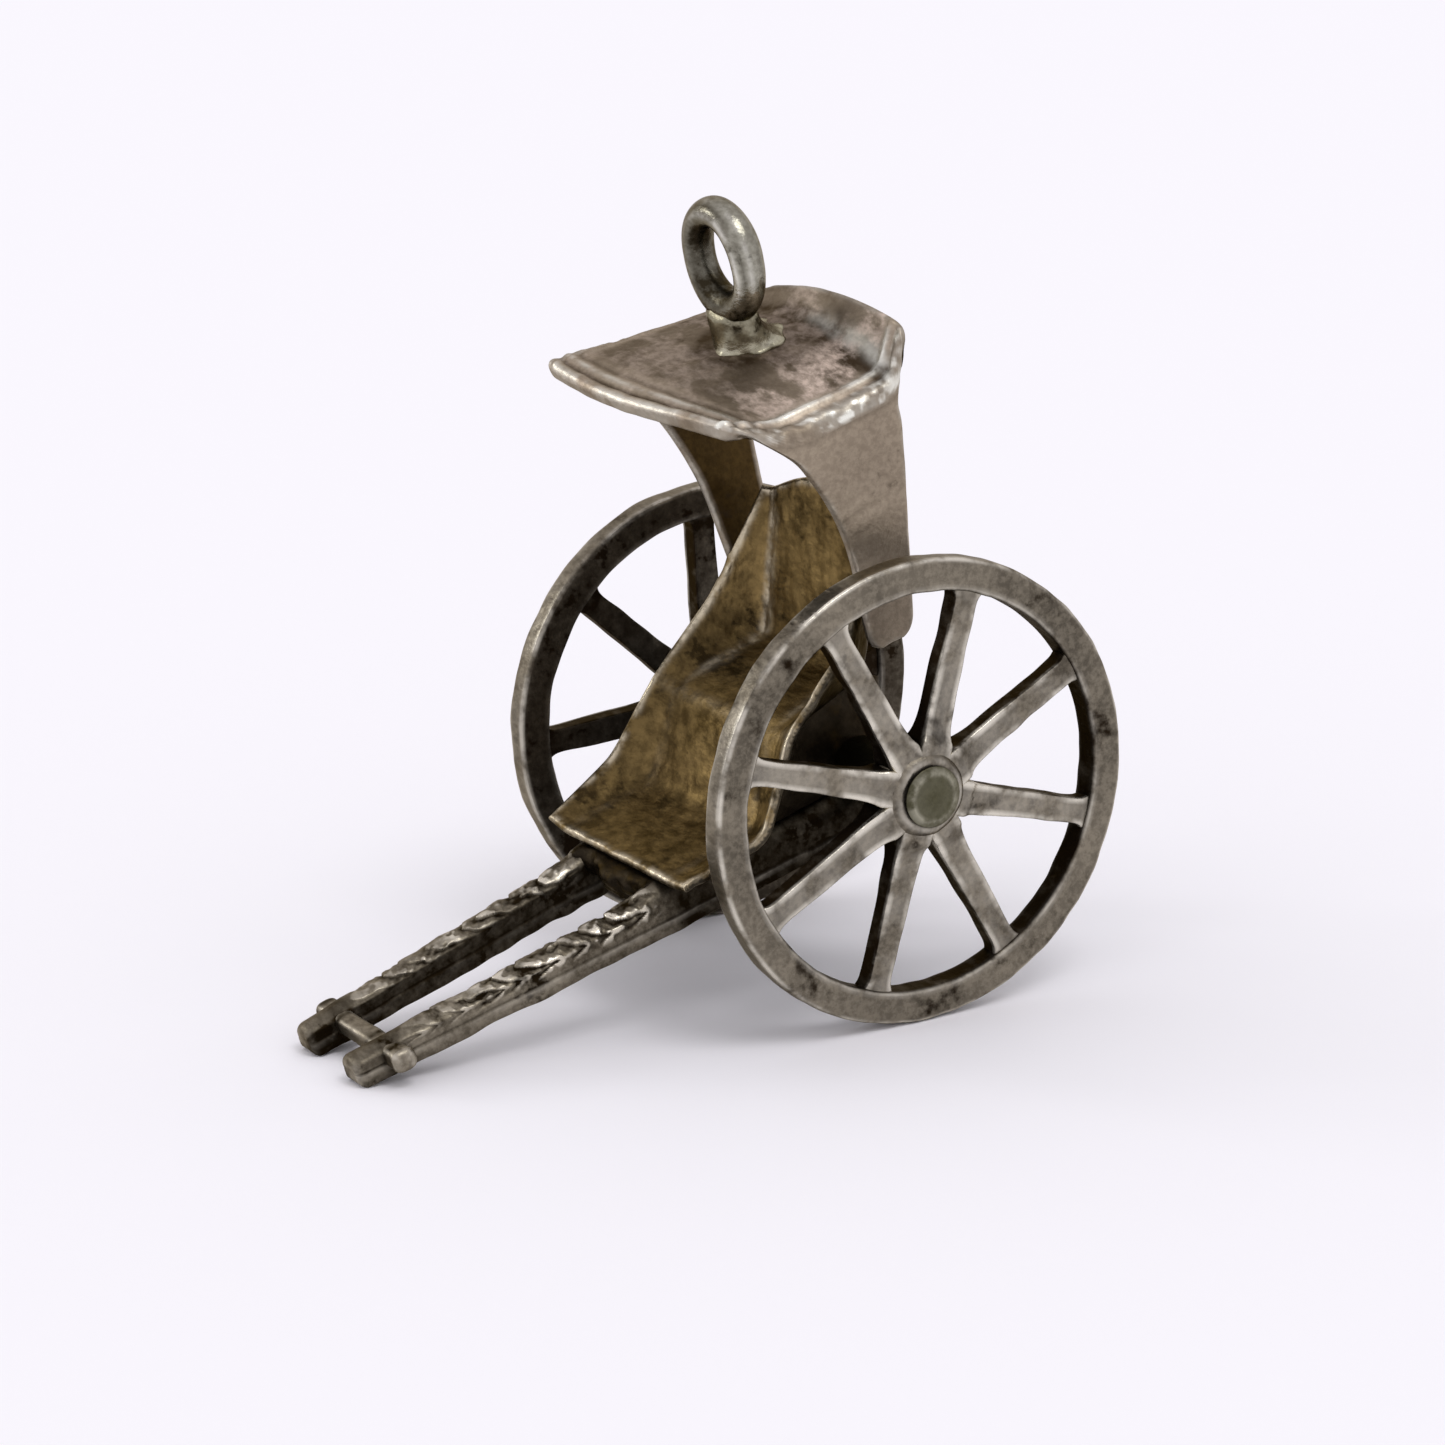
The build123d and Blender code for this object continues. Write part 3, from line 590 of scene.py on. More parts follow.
grid = rod(narrow * (1 - 0.05 * (1 + lumps(rod(narrow), 1.2, 97))))
joint = stripe(abs(along), 2.33, 0.14) + stripe(abs(along), 1.05, 0.16)
corner = sloped(abs(outline).sum(1), 0.62, 0.08)
shade = {"hollow": capped_mark(0.85 * joint), "rub": capped_mark(0.55 * corner + 0.4 * (from_end < 0.6))}
crossbar = skin("crossbar_rod", [(capped(grid), False, True, shade)])
settle(crossbar, chased_silver, "chassis", "chased_silver", "crossbar")

# Seat shell: footboard, apron, seat and back stamped from one silver sheet, gilt above, with a gusset wing folded up
# along each side. Under the seat a plate on each side stands on the shaft, the footboard lies on both shafts, and a
# rough fill between them under its front edge holds it all together. The plates, the fill and the shell's underside
# are near black: painted shade under the seat.
SHEET = 0.3
FOOTBOARD = (BODY_FRONT, -0.15)
APRON_FOOT = (4.4, -0.15)
SEAT_FRONT = (2.65, 2.6)
SEAT_REAR = (-0.95, 2.95)
BACK_TOP = (-2.65, 7.4)
BACK_HALF_WIDTH = 2.9
BACK_ARCH = 0.85
FOLD_ROUND = 0.26
WING_ROUND = 0.12
WING_WIDTH = 1.6
SHELL_ROWS, WING_COLUMNS, FLOOR_COLUMNS, ARCH_ROWS = 190, 26, 60, 24
BOX_HALF_WIDTH = 2.85
BOX_OUTLINE = [(4.3, -0.45), (2.62, 2.4), (-1.2, 2.65), (-1.5, -0.45)]
FILL_HALF_WIDTH = 2.3
FILL_OUTLINE = [(5.6, -0.5), (8.15, -0.5), (8.25, -1.1), (7.7, -1.75), (5.6, -1.6)]
STRAP_FOOT_Z = 4.1
STRAP_HALF_GAP = 3.7
STRAP_FLARE = 0.137
STRAP_CLEARANCE = 0.03
gilt_silver = aged_metal_with_painted_light(
    "gilt_silver",
    # These two tones, on the shell's underside, the plates and the fill, are near black: painted shade under the
    # seat.
    light=(0.04, 0.031, 0.02),
    deep=(0.012, 0.009, 0.006),
    film_and_shade=(0.045, 0.03, 0.012),
    bright=(0.6, 0.53, 0.39),
    patch=560,
    cover=0.34,
    gloss=0.42,
    dull=0.55,
    pits=0.5,
    gilt=((0.29, 0.2, 0.078), (0.065, 0.042, 0.015)),
    speck=2400,
    tooth=3600,
    depth=0.00005,
)


def softened(points, at, sigma):
    """Rounds a folded sheet: each row of points becomes the mean of its neighbours, weighted by a bell of width sigma
    in the distance along the sheet, which closes up towards both ends."""
    near_end = np.minimum(at - at[0], at[-1] - at)
    width = sigma * np.clip(near_end / (3 * sigma), 0.02, 1)
    weights = np.exp(-(((at[:, None] - at[None, :]) / width[:, None]) ** 2) / 2) * np.gradient(at)
    return np.tensordot(weights / weights.sum(axis=1, keepdims=True), points, axes=(1, 0))


def sheet_patches(face, thickness, face_relief, back_relief):
    """A sheet with rounded edges: the face grid and its back at the thickness below it, each raised by a relief in
    mm. Near the border both close on the middle along a half circle. The distance from the border comes third."""
    rows, columns = np.gradient(face, axis=0), np.gradient(face, axis=1)
    normal = np.cross(rows, columns)
    normal /= np.linalg.norm(normal, axis=-1, keepdims=True)
    across = np.cumsum(np.linalg.norm(rows, axis=-1), axis=0) * MM_PER_METRE
    along = np.cumsum(np.linalg.norm(columns, axis=-1), axis=1) * MM_PER_METRE
    inward = np.minimum(across - across[:1], across[-1:] - across)
    inward = np.minimum(inward, np.minimum(along - along[:, :1], along[:, -1:] - along))
    half = thickness / 2
    full = np.sqrt(1 - (1 - np.clip(inward / half, 0, 1)) ** 2)
    top = (half * full - half + face_relief * full)[..., None] * normal / MM_PER_METRE
    bottom = (-half * full - half + back_relief * full)[..., None] * normal / MM_PER_METRE
    return (face + top, False, False, {}), (face + bottom, False, False, {}), inward


def shell_face():
    """Face of the shell: stations along the folded profile, each a U of wing, floor and wing, joined by straight
    lines and softened at the folds. The back goes on above its last station in a low arch. Where the hood's straps
    come down, the wings are drawn in between them. The places of the stations and the parameters come with it."""
    stations = np.array([FOOTBOARD, APRON_FOOT, SEAT_FRONT, SEAT_REAR, BACK_TOP])
    runs = -np.diff(stations, axis=0)
    lengths = np.linalg.norm(runs, axis=1)
    runs = runs / lengths[:, None]
    square = np.stack([runs[0], runs[0] + runs[1], runs[1] + runs[2], runs[2] + runs[3], runs[3]])
    square /= np.linalg.norm(square, axis=1, keepdims=True)
    # Columns: half floor, left wing out and up, right wing out and up
    wings = np.array(
        [
            (3.5, 4.36, 0.12, 4.36, 0.12),
            (3.2, 4.4, 0.4, 4.3, 1.2),
            (3.2, 4.3, 0.3, 4.15, 0.3),
            (BACK_HALF_WIDTH, 3.95, 1.9, 3.9, 1.9),
            (BACK_HALF_WIDTH, 3.25, 0.2, 3.25, 0.2),
        ]
    )
    mark = np.concatenate([[0], np.cumsum(lengths)])
    edge = np.array([0, 0.01, 0.03, 0.06, 0.1, 0.14])
    down = np.concatenate([edge, np.linspace(0.19, mark[-1], SHELL_ROWS)])
    table = np.concatenate([stations, square, wings], axis=1)
    x, z, square_x, square_z, floor, left_out, left_up, right_out, right_up = (
        np.interp(down, mark, column)[:, None] for column in table.T
    )
    wing = np.concatenate([edge / 1.4, np.linspace(0.14, 1, WING_COLUMNS)])
    over = np.concatenate([wing, 1 + np.linspace(0, 1, FLOOR_COLUMNS)[1:], 3 - wing[-2::-1]])
    left, right, flat = np.clip(1 - over, 0, 1), np.clip(over - 2, 0, 1), np.clip(over - 1, 0, 1)
    y = floor * (1 - 2 * flat) + left * (left_out - floor) - right * (right_out - floor)
    lift = left * left_up + right * right_up
    face = np.stack([x - lift * square_z, y, z + lift * square_x], axis=-1)
    rise = np.concatenate([np.linspace(0, 1, ARCH_ROWS)[1:-5], 1 - edge[::-1]])
    crown = (BACK_ARCH * np.clip(1 - (y[-1] / BACK_HALF_WIDTH) ** 2, 0.06, 1))[None, :, None] * rise[:, None, None]
    face = np.concatenate([face, face[-1:] - crown * np.array([runs[3][0], 0, runs[3][1]])])
    down = np.concatenate([down, mark[-1] + rise * BACK_ARCH])
    for _ in range(2):
        face = softened(face, down, FOLD_ROUND)
        face = softened(face.transpose(1, 0, 2), over * WING_WIDTH, WING_ROUND).transpose(1, 0, 2)
    above_foot = np.clip(face[..., 2] - STRAP_FOOT_Z, 0, None)
    strap = STRAP_HALF_GAP - SHEET - STRAP_CLEARANCE + above_foot * STRAP_FLARE
    free = np.clip((face[..., 0] - SEAT_REAR[0]) / 1.3, 0, 3) ** 2
    face[..., 1] = np.clip(face[..., 1], -strap - free, strap + free)
    return face, down, over, mark


def plate_patch(corners, y, outward):
    """A flat plate: its rounded outline at one side, then at the other, with both sides closed to the middle."""
    bevel = 0.06
    outline = eased(corners, 0.08)
    inset = np.array([0, 0.97, 1, 1, 0.97, 0])[:, None]
    side = y - outward * np.array([0, 0, bevel, SHEET - bevel, SHEET, SHEET])[:, None]
    middle = outline.mean(0)
    shape = middle + (outline - middle) * inset[..., None]
    shade = {"hollow": 0.15, "rub": 0.2 * stripe(inset, 1, 0.02)}
    return parked(shape[..., 0], side, shape[..., 1]), False, True, shade


face, down, over, mark = shell_face()
grid = parked(face[..., 0], face[..., 1], face[..., 2])
dents = 0.03 * lumps(grid, 2.1, 131) + 0.018 * lumps(grid, 0.8, 132) + 0.011 * lumps(grid, 0.35, 133)
top, bottom, inward = sheet_patches(grid, SHEET, dents, dents)
down, over = down[:, None], over[None, :]
apron_foot, seat_front, seat_rear = mark[1:4]
# Along the folds between the wings and the back: painted highlights, strongest up the back.
fold = stripe(np.minimum(abs(over - 1), abs(over - 2)) * WING_WIDTH, 0, 0.1)
sunk = stripe(down, apron_foot, 0.3) + stripe(down, seat_rear, 0.3)
edge_worn = stripe(inward, 0.1, 0.13)
top[3].update(
    rub=0.95 * edge_worn
    + 0.8 * fold * np.clip((down - seat_front) / 2, 0.1, 1)
    + 0.12 * stripe(down, seat_front, 0.25),
    hollow=0.3 * sunk
    + 0.22 * sloped(over, 2.02, 0.3)
    + 0.2 * (0.5 + 0.5 * lumps(grid, 1.8, 134))
    + 0.3 * stripe(down, (seat_front + seat_rear) / 2, 1.2),
    inside=1.0,
)
# The underside: the near-black tone and some darkening, painted shade.
bottom[3].update(rub=0.35 * edge_worn, hollow=0.2)
plates = [plate_patch(BOX_OUTLINE, side * BOX_HALF_WIDTH, side) for side in (1, -1)]
fill_across = np.linspace(-FILL_HALF_WIDTH, FILL_HALF_WIDTH, 40)[:, None]
fill_outline = eased(FILL_OUTLINE, 0.3)
bulge = 0.15 * np.cos(2.4 * fill_across) * (fill_outline[:, 0] > 7)
fill = parked(fill_outline[:, 0] + bulge, fill_across, fill_outline[:, 1])
fill = fill + (0.0001 * lumps(fill, 0.8, 141) + 0.00007 * lumps(fill, 0.35, 142))[..., None] * slope
shell = skin("stamped_seat_shell", [top, bottom, *plates, (capped(fill), False, True, {})])
settle(shell, gilt_silver, "chassis", "gilt_sheet", "seat_shell")

# Hood: one silver sheet bent over the seat, with a crowned roof, a brim with a rolled lip and two scored lines, a
# crest turned up along the rear, and side panels that narrow to straps. The straps are soldered outside the
# shell's wings.
HOOD_HALF_WIDTH = 5.15
BEND_LEFT = 12.1
BEND_RIGHT = 12.9
CROWN = 13.5
BRIM_FRONT = 2.85
BRIM_SKEW, BRIM_BOW = 0.0872, 0.0188
HOOD_REAR = -3.85
CREST_REAR = -4.6
STRAP_OUTSIDE = 4.0
STRAP_REAR = -2.6
STRAP_END_ROUND = 0.5
STRAP_FOOT_SKEW = 0.31
ROOF_ARC = 10.6
PANEL_LENGTH = 8.4
PANEL_COLUMNS, ROOF_COLUMNS, HOOD_ROWS = 84, 130, 104
FIRST_SCORE, SECOND_SCORE, BRIM_BAND = 0.5, 1.1, 1.2
BAIL_X = -2.05
BEAD_RADIUS = 1.4
sheet_silver = aged_metal_with_painted_light(
    "sheet_silver",
    light=(0.4, 0.335, 0.25),
    deep=(0.255, 0.208, 0.153),
    film_and_shade=(0.055, 0.038, 0.023),
    bright=(0.88, 0.88, 0.79),
    patch=380,
    cover=0.2,
    gloss=0.46,
    dull=0.58,
    pits=0.25,
    # The gilt pair colours the hood's lining, far darker than the seat's gilding: painted shade under the roof.
    gilt=((0.09, 0.055, 0.016), (0.03, 0.017, 0.004)),
    veined=(0.64, 0.53, 0.44),
)


def hood_face():
    """Face of the hood: across it runs up the left panel, over the roof and down the right panel, a line, a parabola
    through bend, crown and bend, and a line. Along it runs from the rear edge to the front edge at each place across.
    The bends and the crown are lifted by tables of x towards the brim and the crest. The distances past the bend,
    from the front edge and from the rear edge come with it."""
    panel = np.concatenate([[0, 0.002, 0.006, 0.012, 0.018], np.linspace(0.026, 1, PANEL_COLUMNS)])
    across = np.concatenate([panel, 1 + np.linspace(0, 1, ROOF_COLUMNS)[1:], 3 - panel[-2::-1]])
    at = np.interp(across, (0, 1, 2, 3), np.cumsum((0, PANEL_LENGTH, ROOF_ARC, PANEL_LENGTH)))
    across = across[:, None]
    side = np.where(across < 1.5, 1, -1)
    roof = np.clip(across - 1, 0, 1)
    drop = np.where(side > 0, np.clip(1 - across, 0, 1), np.clip(across - 2, 0, 1))
    below = drop * PANEL_LENGTH
    on_panel = below > 0
    past_bend = np.where(on_panel, -below, np.minimum(roof, 1 - roof) * ROOF_ARC)
    plan = HOOD_HALF_WIDTH * (1 - 2 * roof)
    bowed = BRIM_FRONT - BRIM_SKEW * plan - BRIM_BOW * plan**2 - 0.18 * np.exp(-np.clip(past_bend, 0, None) / 0.3)
    left_cut = np.interp(
        below,
        (0, 0.25, 0.4, 0.5, 0.65, 1.0, 1.5, 2.5, 3.5, 4.5, 5.5),
        (1.72, 1.66, 1.45, 1.1, 0.65, 0.2, 0, -0.43, -0.72, -0.89, -0.95),
    )
    right_cut = np.interp(
        below,
        (0, 0.3, 0.5, 0.8, 1.2, 1.65, 2.1, 3.0, 4.0, 4.9, 5.8),
        (2.6, 2.3, 1.7, 0.9, 0.5, 0.2, 0, -0.43, -0.72, -0.89, -0.95),
    )
    front = np.where(on_panel, np.where(side > 0, left_cut, right_cut), bowed)
    slant = HOOD_REAR - 0.06 + (STRAP_REAR - HOOD_REAR) * drop
    left_rear = np.interp(below, (0, 0.12, 0.25, 0.4, 0.6, 0.9, 1.3), (-0.58, -0.5, -0.25, 0.12, 0.22, 0.08, 0))
    right_rear = np.interp(below, (0, 0.2, 0.5), (-0.35, -0.1, 0))
    roof_rear = np.interp(past_bend, (0, 0.3, 0.6), (CREST_REAR + 0.16, CREST_REAR + 0.05, CREST_REAR))
    rear = np.where(on_panel, slant + np.where(side > 0, left_rear, right_rear), roof_rear)
    foot = np.clip(STRAP_END_ROUND - (PANEL_LENGTH - below), 0, STRAP_END_ROUND) * on_panel
    corner = STRAP_END_ROUND - np.sqrt(STRAP_END_ROUND**2 - foot**2)
    front, rear = softened(front - corner, at, 0.14), softened(rear + corner, at, 0.07)
    along = 0.5 - 0.5 * np.cos(np.linspace(0, np.pi, HOOD_ROWS))
    x = rear + (front - rear) * along

    def lifted(*heights):
        """Lift at each x: a table of crest, rear, middle and brim, averaged over four near places."""
        stations = (CREST_REAR, HOOD_REAR + 0.1, 0.2, BRIM_FRONT)
        return sum(np.interp(x + shift, stations, heights) for shift in (-0.3, -0.1, 0.1, 0.3)) / 4

    bend_left = BEND_LEFT + lifted(1.7, 0, 0, 1.5)
    bend_right = BEND_RIGHT + lifted(0.1, 0, 0.65, 1.1)
    crown = CROWN + lifted(0.8, 0, 0, 0)
    roof_z = (
        bend_left * (2 * roof**2 - 3 * roof + 1)
        + crown * (4 * roof - 4 * roof**2)
        + bend_right * (2 * roof**2 - roof)
    )
    bend = np.where(side > 0, bend_left, bend_right)
    panel_z = bend + (STRAP_FOOT_Z - STRAP_FOOT_SKEW * side - bend) * drop
    panel_y = side * (HOOD_HALF_WIDTH + (STRAP_OUTSIDE - HOOD_HALF_WIDTH) * drop)
    face = np.stack([x, np.where(on_panel, panel_y, plan) + 0 * x, np.where(on_panel, panel_z, roof_z)], axis=-1)
    return softened(face, at, FOLD_ROUND), past_bend, (1 - along) * (front - rear), along * (front - rear)


face, past_bend, from_front, from_rear = hood_face()
grid = parked(face[..., 0], face[..., 1], face[..., 2])
on_roof = sloped(past_bend, 0.1, 0.5)
on_bend = sloped(abs(past_bend - 0.05), 0.5, -0.16)
scored = (
    0.05 * stripe(from_front, 0.2, 0.15)
    - 0.08 * stripe(from_front, FIRST_SCORE, 0.09)
    + 0.035 * stripe(from_front, 0.75, 0.13)
    - 0.055 * stripe(from_front, SECOND_SCORE, 0.11)
)
border = 0.07 * stripe(past_bend, 0.78, 0.11) - 0.06 * stripe(past_bend, 0.5, 0.11)
dents = 0.03 * lumps(grid, 2.6, 151) + 0.016 * lumps(grid, 0.8, 152)
worked = on_roof * np.clip(from_front - BRIM_BAND, 0, 1) * 0.03 * lumps(grid, 1.2, 153)
worked = worked + on_bend * 0.035 * lumps(grid, 0.4, 154)
lip = -0.2 * sloped(from_front, 0.4, -0.16) * on_roof
outer, inner, inward = sheet_patches(grid, SHEET, on_roof * (scored + border) + dents + worked, dents + lip)
bead_gap = np.hypot(face[..., 0] - BAIL_X, face[..., 1])
field = on_roof * sloped(from_front, BRIM_BAND, 0.4) * sloped(past_bend, 0.9, 0.3)
left_side = np.clip(face[..., 1] / 2, 0, 1)
near_band = left_side * sloped(past_bend, 3.2, -0.9)
# On the near bend: painted highlights in spots, with painted shade between them.
sparkle = np.clip(1.8 * lumps(grid, 0.5, 155) - 0.2, 0, 1)
# At the near end of the crest: a painted shadow where the crest meets the roof.
crest_end_shadow = left_side * stripe(from_rear, 0.95, 0.28) * stripe(past_bend, 0.6, 0.5)
brim_rub = 0.3 * stripe(from_front, 0.18, 0.15) + 0.5 * stripe(from_front, 0.78, 0.1)
# Along the roof's raised border and before the crest, on the near side only: painted highlights.
near_border_highlight = left_side * (0.95 * stripe(past_bend, 0.8, 0.1) + 0.6 * stripe(from_rear, 0.75, 0.2))
brim_dark = 0.85 * stripe(from_front, FIRST_SCORE, 0.1) + 0.6 * stripe(from_front, SECOND_SCORE, 0.13)
crest_dark = 0.6 * stripe(from_rear, 1.15, 0.3) + 0.4 * stripe(from_rear, 2.0, 0.8)
bead_dark = 0.5 * stripe(bead_gap, BEAD_RADIUS + 0.2, 0.35)
outer[3].update(
    rub=on_bend * (0.2 + left_side * (0.05 + 1.1 * sparkle))
    + on_roof * (brim_rub + near_border_highlight)
    + 0.3 * stripe(inward, 0.06, 0.1),
    hollow=on_roof * (brim_dark + crest_dark + bead_dark)
    + 0.3 * stripe(past_bend, -0.5, 0.1)
    + 0.3 * on_bend * left_side * (1 - sparkle)
    + 0.95 * crest_end_shadow
    + field * (0.58 - 0.2 * near_band),
    veined=field * (0.32 + 0.68 * near_band) + 0.2 * on_roof * (1 - field),
)
# The lining: its dark gilt tone and some darkening are painted shade under the roof.
inner[3].update(rub=0.25 * stripe(inward, 0.05, 0.1), hollow=0.25, inside=sloped(inward, 0.1, 0.15))
hood = skin("bent_hood", [outer, inner])
settle(hood, sheet_silver, "chassis", "sheet_silver", "hood")

# Solder bead: silver solder that ran out round the foot of the ring, climbed both sides of its wire and set in a cone
# with a hollow flank and an uneven edge.
BEAD_HEIGHT = 1.45
BEAD_TOP_SHIFT = 0.4
BEAD_Y = -0.15
TOP_HALF_LENGTH, FOOT_LENGTHENING = 0.66, 0.5
TOP_HALF_WIDTH, FOOT_WIDENING = 1.13, 0.2
ROOF_SKEW, ROOF_BOW = 0.0777, 0.0377
BEAD_SINK = 0.12
turn = np.linspace(0, 2 * np.pi, 96, endpoint=False)
flank = np.linspace(0, 1, 44)[:, None]
narrowing = (1 - flank) ** 2.6
dome = np.sqrt(1 - sloped(flank, 0.75, 0.25) ** 2)
edge = 1 + narrowing * (0.1 * np.sin(2 * turn + 0.6) + 0.08 * np.sin(3 * turn + 2) + 0.05 * np.sin(7 * turn))
half_length = edge * dome * (TOP_HALF_LENGTH + FOOT_LENGTHENING * narrowing)
half_width = edge * dome * (TOP_HALF_WIDTH + FOOT_WIDENING * narrowing)
x = BAIL_X + BEAD_TOP_SHIFT * (1 - narrowing) + half_length * np.cos(turn)
y = BEAD_Y + half_width * np.sin(turn)
roof_z = CROWN - ROOF_SKEW * y - ROOF_BOW * y**2
foot_z = np.where(flank > 0, roof_z, roof_z - BEAD_SINK)
grid = parked(x, y, foot_z + BEAD_HEIGHT * flank**1.5)
grid = grid + 0.00003 * lumps(grid, 0.6, 171)[..., None]
solder_silver = aged_metal_with_painted_light(
    "solder_silver",
    light=(0.42, 0.395, 0.285),
    deep=(0.2, 0.18, 0.122),
    film_and_shade=(0.04, 0.032, 0.018),
    bright=(0.7, 0.68, 0.55),
    patch=900,
    cover=0.34,
    gloss=0.26,
    dull=0.5,
    pits=0.4,
)
dark = 0.3 * stripe(flank, 0, 0.05) + 0.2 * sloped(flank, 0.3, 0.3)
bright = 0.35 * stripe(flank, 0.2, 0.12)
shade = {"hollow": capped_mark(dark)[:-1], "rub": capped_mark(bright)[:-1]}
bead = skin("bail_solder_bead", [(capped(grid)[:-1], False, True, shade)])
settle(bead, solder_silver, "chassis", "solder", "bail_solder")

# Bail ring: drawn silver wire bent round and closed, standing across the roof with its foot in the solder and
# leaning back a little.
RING_OUTSIDE = 3.9
RING_STAND = 0.88
WIRE = 1.0
WIRE_BREADTH = 1.12
EYE_DROP = 0.14
RING_LEAN = 0.11
RING_TURNS, WIRE_TURNS = 180, 48
ring_middle = CROWN + RING_STAND + RING_OUTSIDE / 2
wire_circle = RING_OUTSIDE / 2 - WIRE / 2
round_ring = np.linspace(0, 2 * np.pi, RING_TURNS, endpoint=False)[:, None]
round_wire = np.linspace(0, 2 * np.pi, WIRE_TURNS, endpoint=False)[None, :]
thick = WIRE / 2 * (1 - 0.025 * (1 + np.sin(3 * round_ring + 1)) - 0.015 * (1 + np.cos(2 * round_wire + round_ring)))
radius = wire_circle + thick * np.cos(round_wire)
below_middle = np.clip(-np.cos(round_ring), 0, 1)
broad = 1 + 0.1 * below_middle * (1 - below_middle**6)
drop = 1 + EYE_DROP / wire_circle * below_middle**0.5
z = ring_middle + radius * drop * np.cos(round_ring)
lean = RING_LEAN * (ring_middle + RING_OUTSIDE / 2 - z)
grid = parked(BAIL_X + lean + WIRE_BREADTH * thick * np.sin(round_wire), radius * broad * np.sin(round_ring), z)
wire_silver = aged_metal_with_painted_light(
    "wire_silver",
    light=(0.36, 0.348, 0.285),
    deep=(0.15, 0.138, 0.105),
    film_and_shade=(0.03, 0.024, 0.014),
    bright=(0.85, 0.83, 0.75),
    patch=900,
    cover=0.25,
    gloss=0.16,
    dull=0.32,
    pits=0.15,
)
foot = sloped(-np.cos(round_ring), 0.45, 0.3)
# Darker on the wire's inner side round the eye and on the ring's far half: painted shade.
eye = sloped(-np.cos(round_wire), 0.1, 0.6)
far_half_shade = np.clip(0.4 - np.sin(round_ring), 0, 1)
# Streaks along the wire: painted dark reflections; the glints are painted highlights.
dark_reflection_streaks = stripe(round_wire, 0.8, 0.16) + 0.7 * stripe(round_wire, 5.9, 0.2) + 0.5 * stripe(round_wire, 2.1, 0.2)
glints = stripe(round_wire, 1.35, 0.2) + 0.6 * stripe(round_wire, 0.35, 0.15)
shade = {
    "hollow": 0.3 * foot + 0.4 * eye + 0.35 * far_half_shade + 0.6 * dark_reflection_streaks * (0.6 + 0.4 * np.sin(5 * round_ring)),
    "rub": 0.6 * glints * (1 - foot) * (1 - 0.6 * far_half_shade),
}
ring = skin("bail_wire_ring", [(grid, True, True, shade)])
settle(ring, wire_silver, "chassis", "wire_silver", "bail_ring")

# Floor: a plain pale lavender-white sheet of matt paper that the charm stands on.
# It is laid flat and wide enough to reach the horizon.
FLOOR_TONE = (0.905, 0.88, 0.938)
FLOOR_REACH = 3.0
FLOOR_ROUGHNESS = 0.9
floor_mesh = bpy.data.meshes.new("pale_floor")
floor_corners = FLOOR_REACH * np.array([(-1, -1, 0), (1, -1, 0), (1, 1, 0), (-1, 1, 0)])
floor_mesh.from_pydata(floor_corners.tolist(), [], [(0, 1, 2, 3)])
floor = bpy.data.objects.new("pale_floor", floor_mesh)
bpy.context.scene.collection.objects.link(floor)
paper = bpy.data.materials.new("pale_paper")
paper.use_nodes = True
paper_shader = paper.node_tree.nodes["Principled BSDF"]
paper_shader.inputs["Base Color"].default_value = (*FLOOR_TONE, 1)
paper_shader.inputs["Roughness"].default_value = FLOOR_ROUGHNESS
paper_shader.inputs["Specular IOR Level"].default_value = 0.0
floor_mesh.materials.append(paper)

# Light: an even pale surround, a broad soft lamp from above and the left of the charm, and a weaker one, low and
# ahead of it on the right.
BACKGROUND = (0.942, 0.917, 0.977)
SURROUND_STRENGTH = 0.85
LAMPS = (
    ("overhead_lamp", 0.62, 24, (-0.02, 0.45, 0.9)),
    ("side_lamp", 0.32, 14, (0.6, -0.75, 0.34)),
)
world = bpy.data.worlds.new("pale_surround")
bpy.context.scene.world = world
world.use_nodes = True
surround = world.node_tree
seen = node(surround, "ShaderNodeLightPath").outputs
mirrored = maths(surround, "MAXIMUM", seen["Is Glossy Ray"], seen["Is Transmission Ray"])
shown = maths(surround, "MAXIMUM", seen["Is Camera Ray"], mirrored)
tones = {0: shown, 6: (1, 1, 1, 1), 7: (*BACKGROUND, 1)}
backdrop = node(surround, "ShaderNodeMix", tones, data_type="RGBA").outputs[2]
strength = maths(surround, "MULTIPLY_ADD", shown, 1 - SURROUND_STRENGTH, SURROUND_STRENGTH)
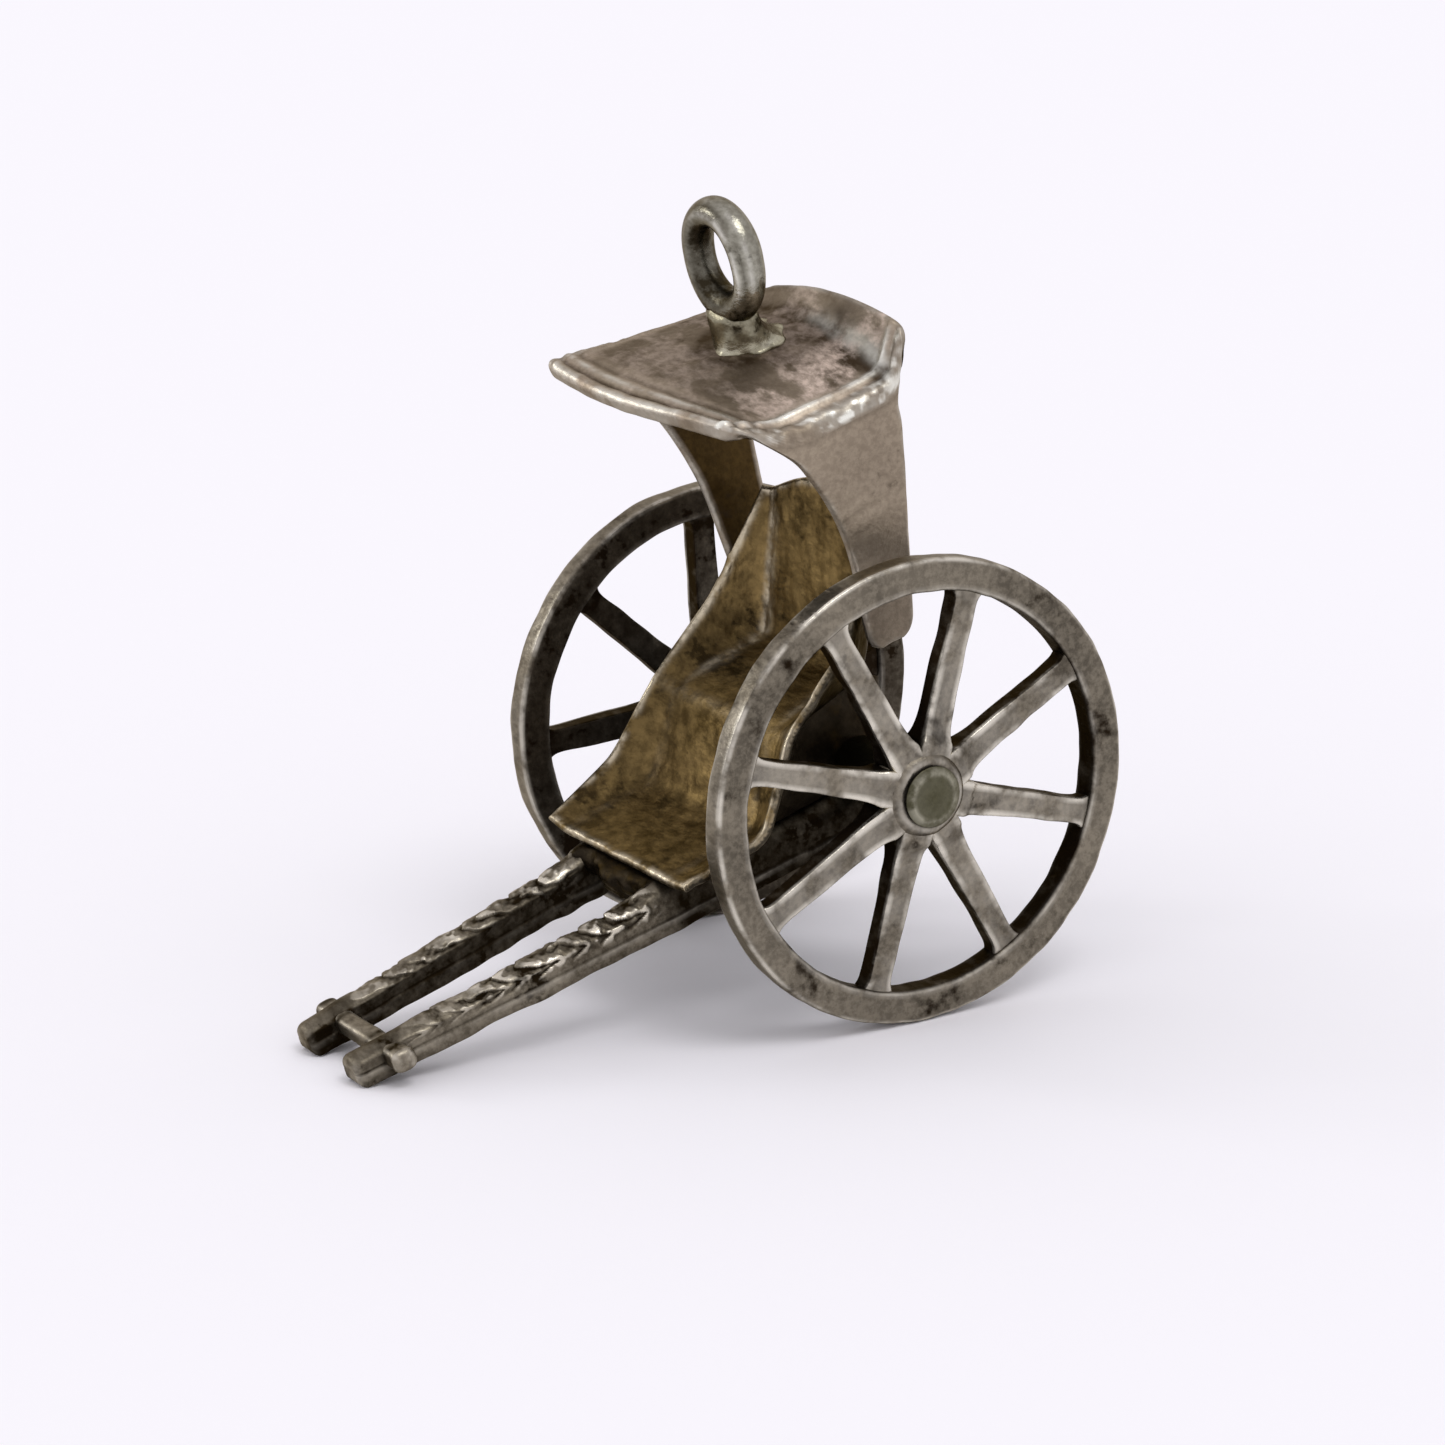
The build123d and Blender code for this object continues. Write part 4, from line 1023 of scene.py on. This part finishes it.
surround.links.new(backdrop, surround.nodes["Background"].inputs["Color"])
surround.links.new(strength, surround.nodes["Background"].inputs["Strength"])
for name, energy, spread, direction in LAMPS:
    lamp = bpy.data.lights.new(name, "SUN")
    lamp.energy = energy
    lamp.angle = np.radians(spread)
    lamp_stand = bpy.data.objects.new(name, lamp)
    lamp_stand.rotation_euler = Vector(direction).to_track_quat("Z", "Y").to_euler()
    bpy.context.scene.collection.objects.link(lamp_stand)

# Camera: a long lens above the shaft tips on the passenger's left, aimed so that the charm sits as in the photograph.
# Its distance is in metres, and its focal length and the axle's place are in pixels.
PHOTO_SIDE = 1445
BEARING, HEIGHT_ANGLE, ROLL = np.radians((31.77, 16.45, -0.78))
DISTANCE = 0.13695
FOCAL = 4238.85
AXLE_PIXEL = (811.0, 743.4)
SENSOR = 36
NEAREST = 0.005
ahead, aside = np.sin(BEARING) * np.cos(HEIGHT_ANGLE), np.cos(BEARING) * np.cos(HEIGHT_ANGLE)
back = np.array([ahead, aside, np.sin(HEIGHT_ANGLE)])
right = np.array([-np.cos(BEARING), np.sin(BEARING), 0])
up = np.cross(back, right)
right, up = right * np.cos(ROLL) + up * np.sin(ROLL), up * np.cos(ROLL) - right * np.sin(ROLL)
eye = np.array([pivot[0], 0, pivot[2]]) + DISTANCE * back
aim = back * FOCAL - right * (PHOTO_SIDE / 2 - AXLE_PIXEL[0]) - up * (AXLE_PIXEL[1] - PHOTO_SIDE / 2)
aim = aim / np.linalg.norm(aim)
right = np.cross(up, aim)
right = right / np.linalg.norm(right)
lens = bpy.data.cameras.new("long_lens")
lens.sensor_width = SENSOR
lens.lens = FOCAL / PHOTO_SIDE * SENSOR
lens.clip_start = NEAREST
camera = bpy.data.objects.new("long_lens", lens)
turned = np.stack([right, np.cross(aim, right), aim], axis=1)
camera.matrix_world = Matrix.Translation(eye) @ Matrix(turned.tolist()).to_4x4()
bpy.context.scene.collection.objects.link(camera)
bpy.context.scene.camera = camera
bpy.context.scene.view_settings.view_transform = "Standard"
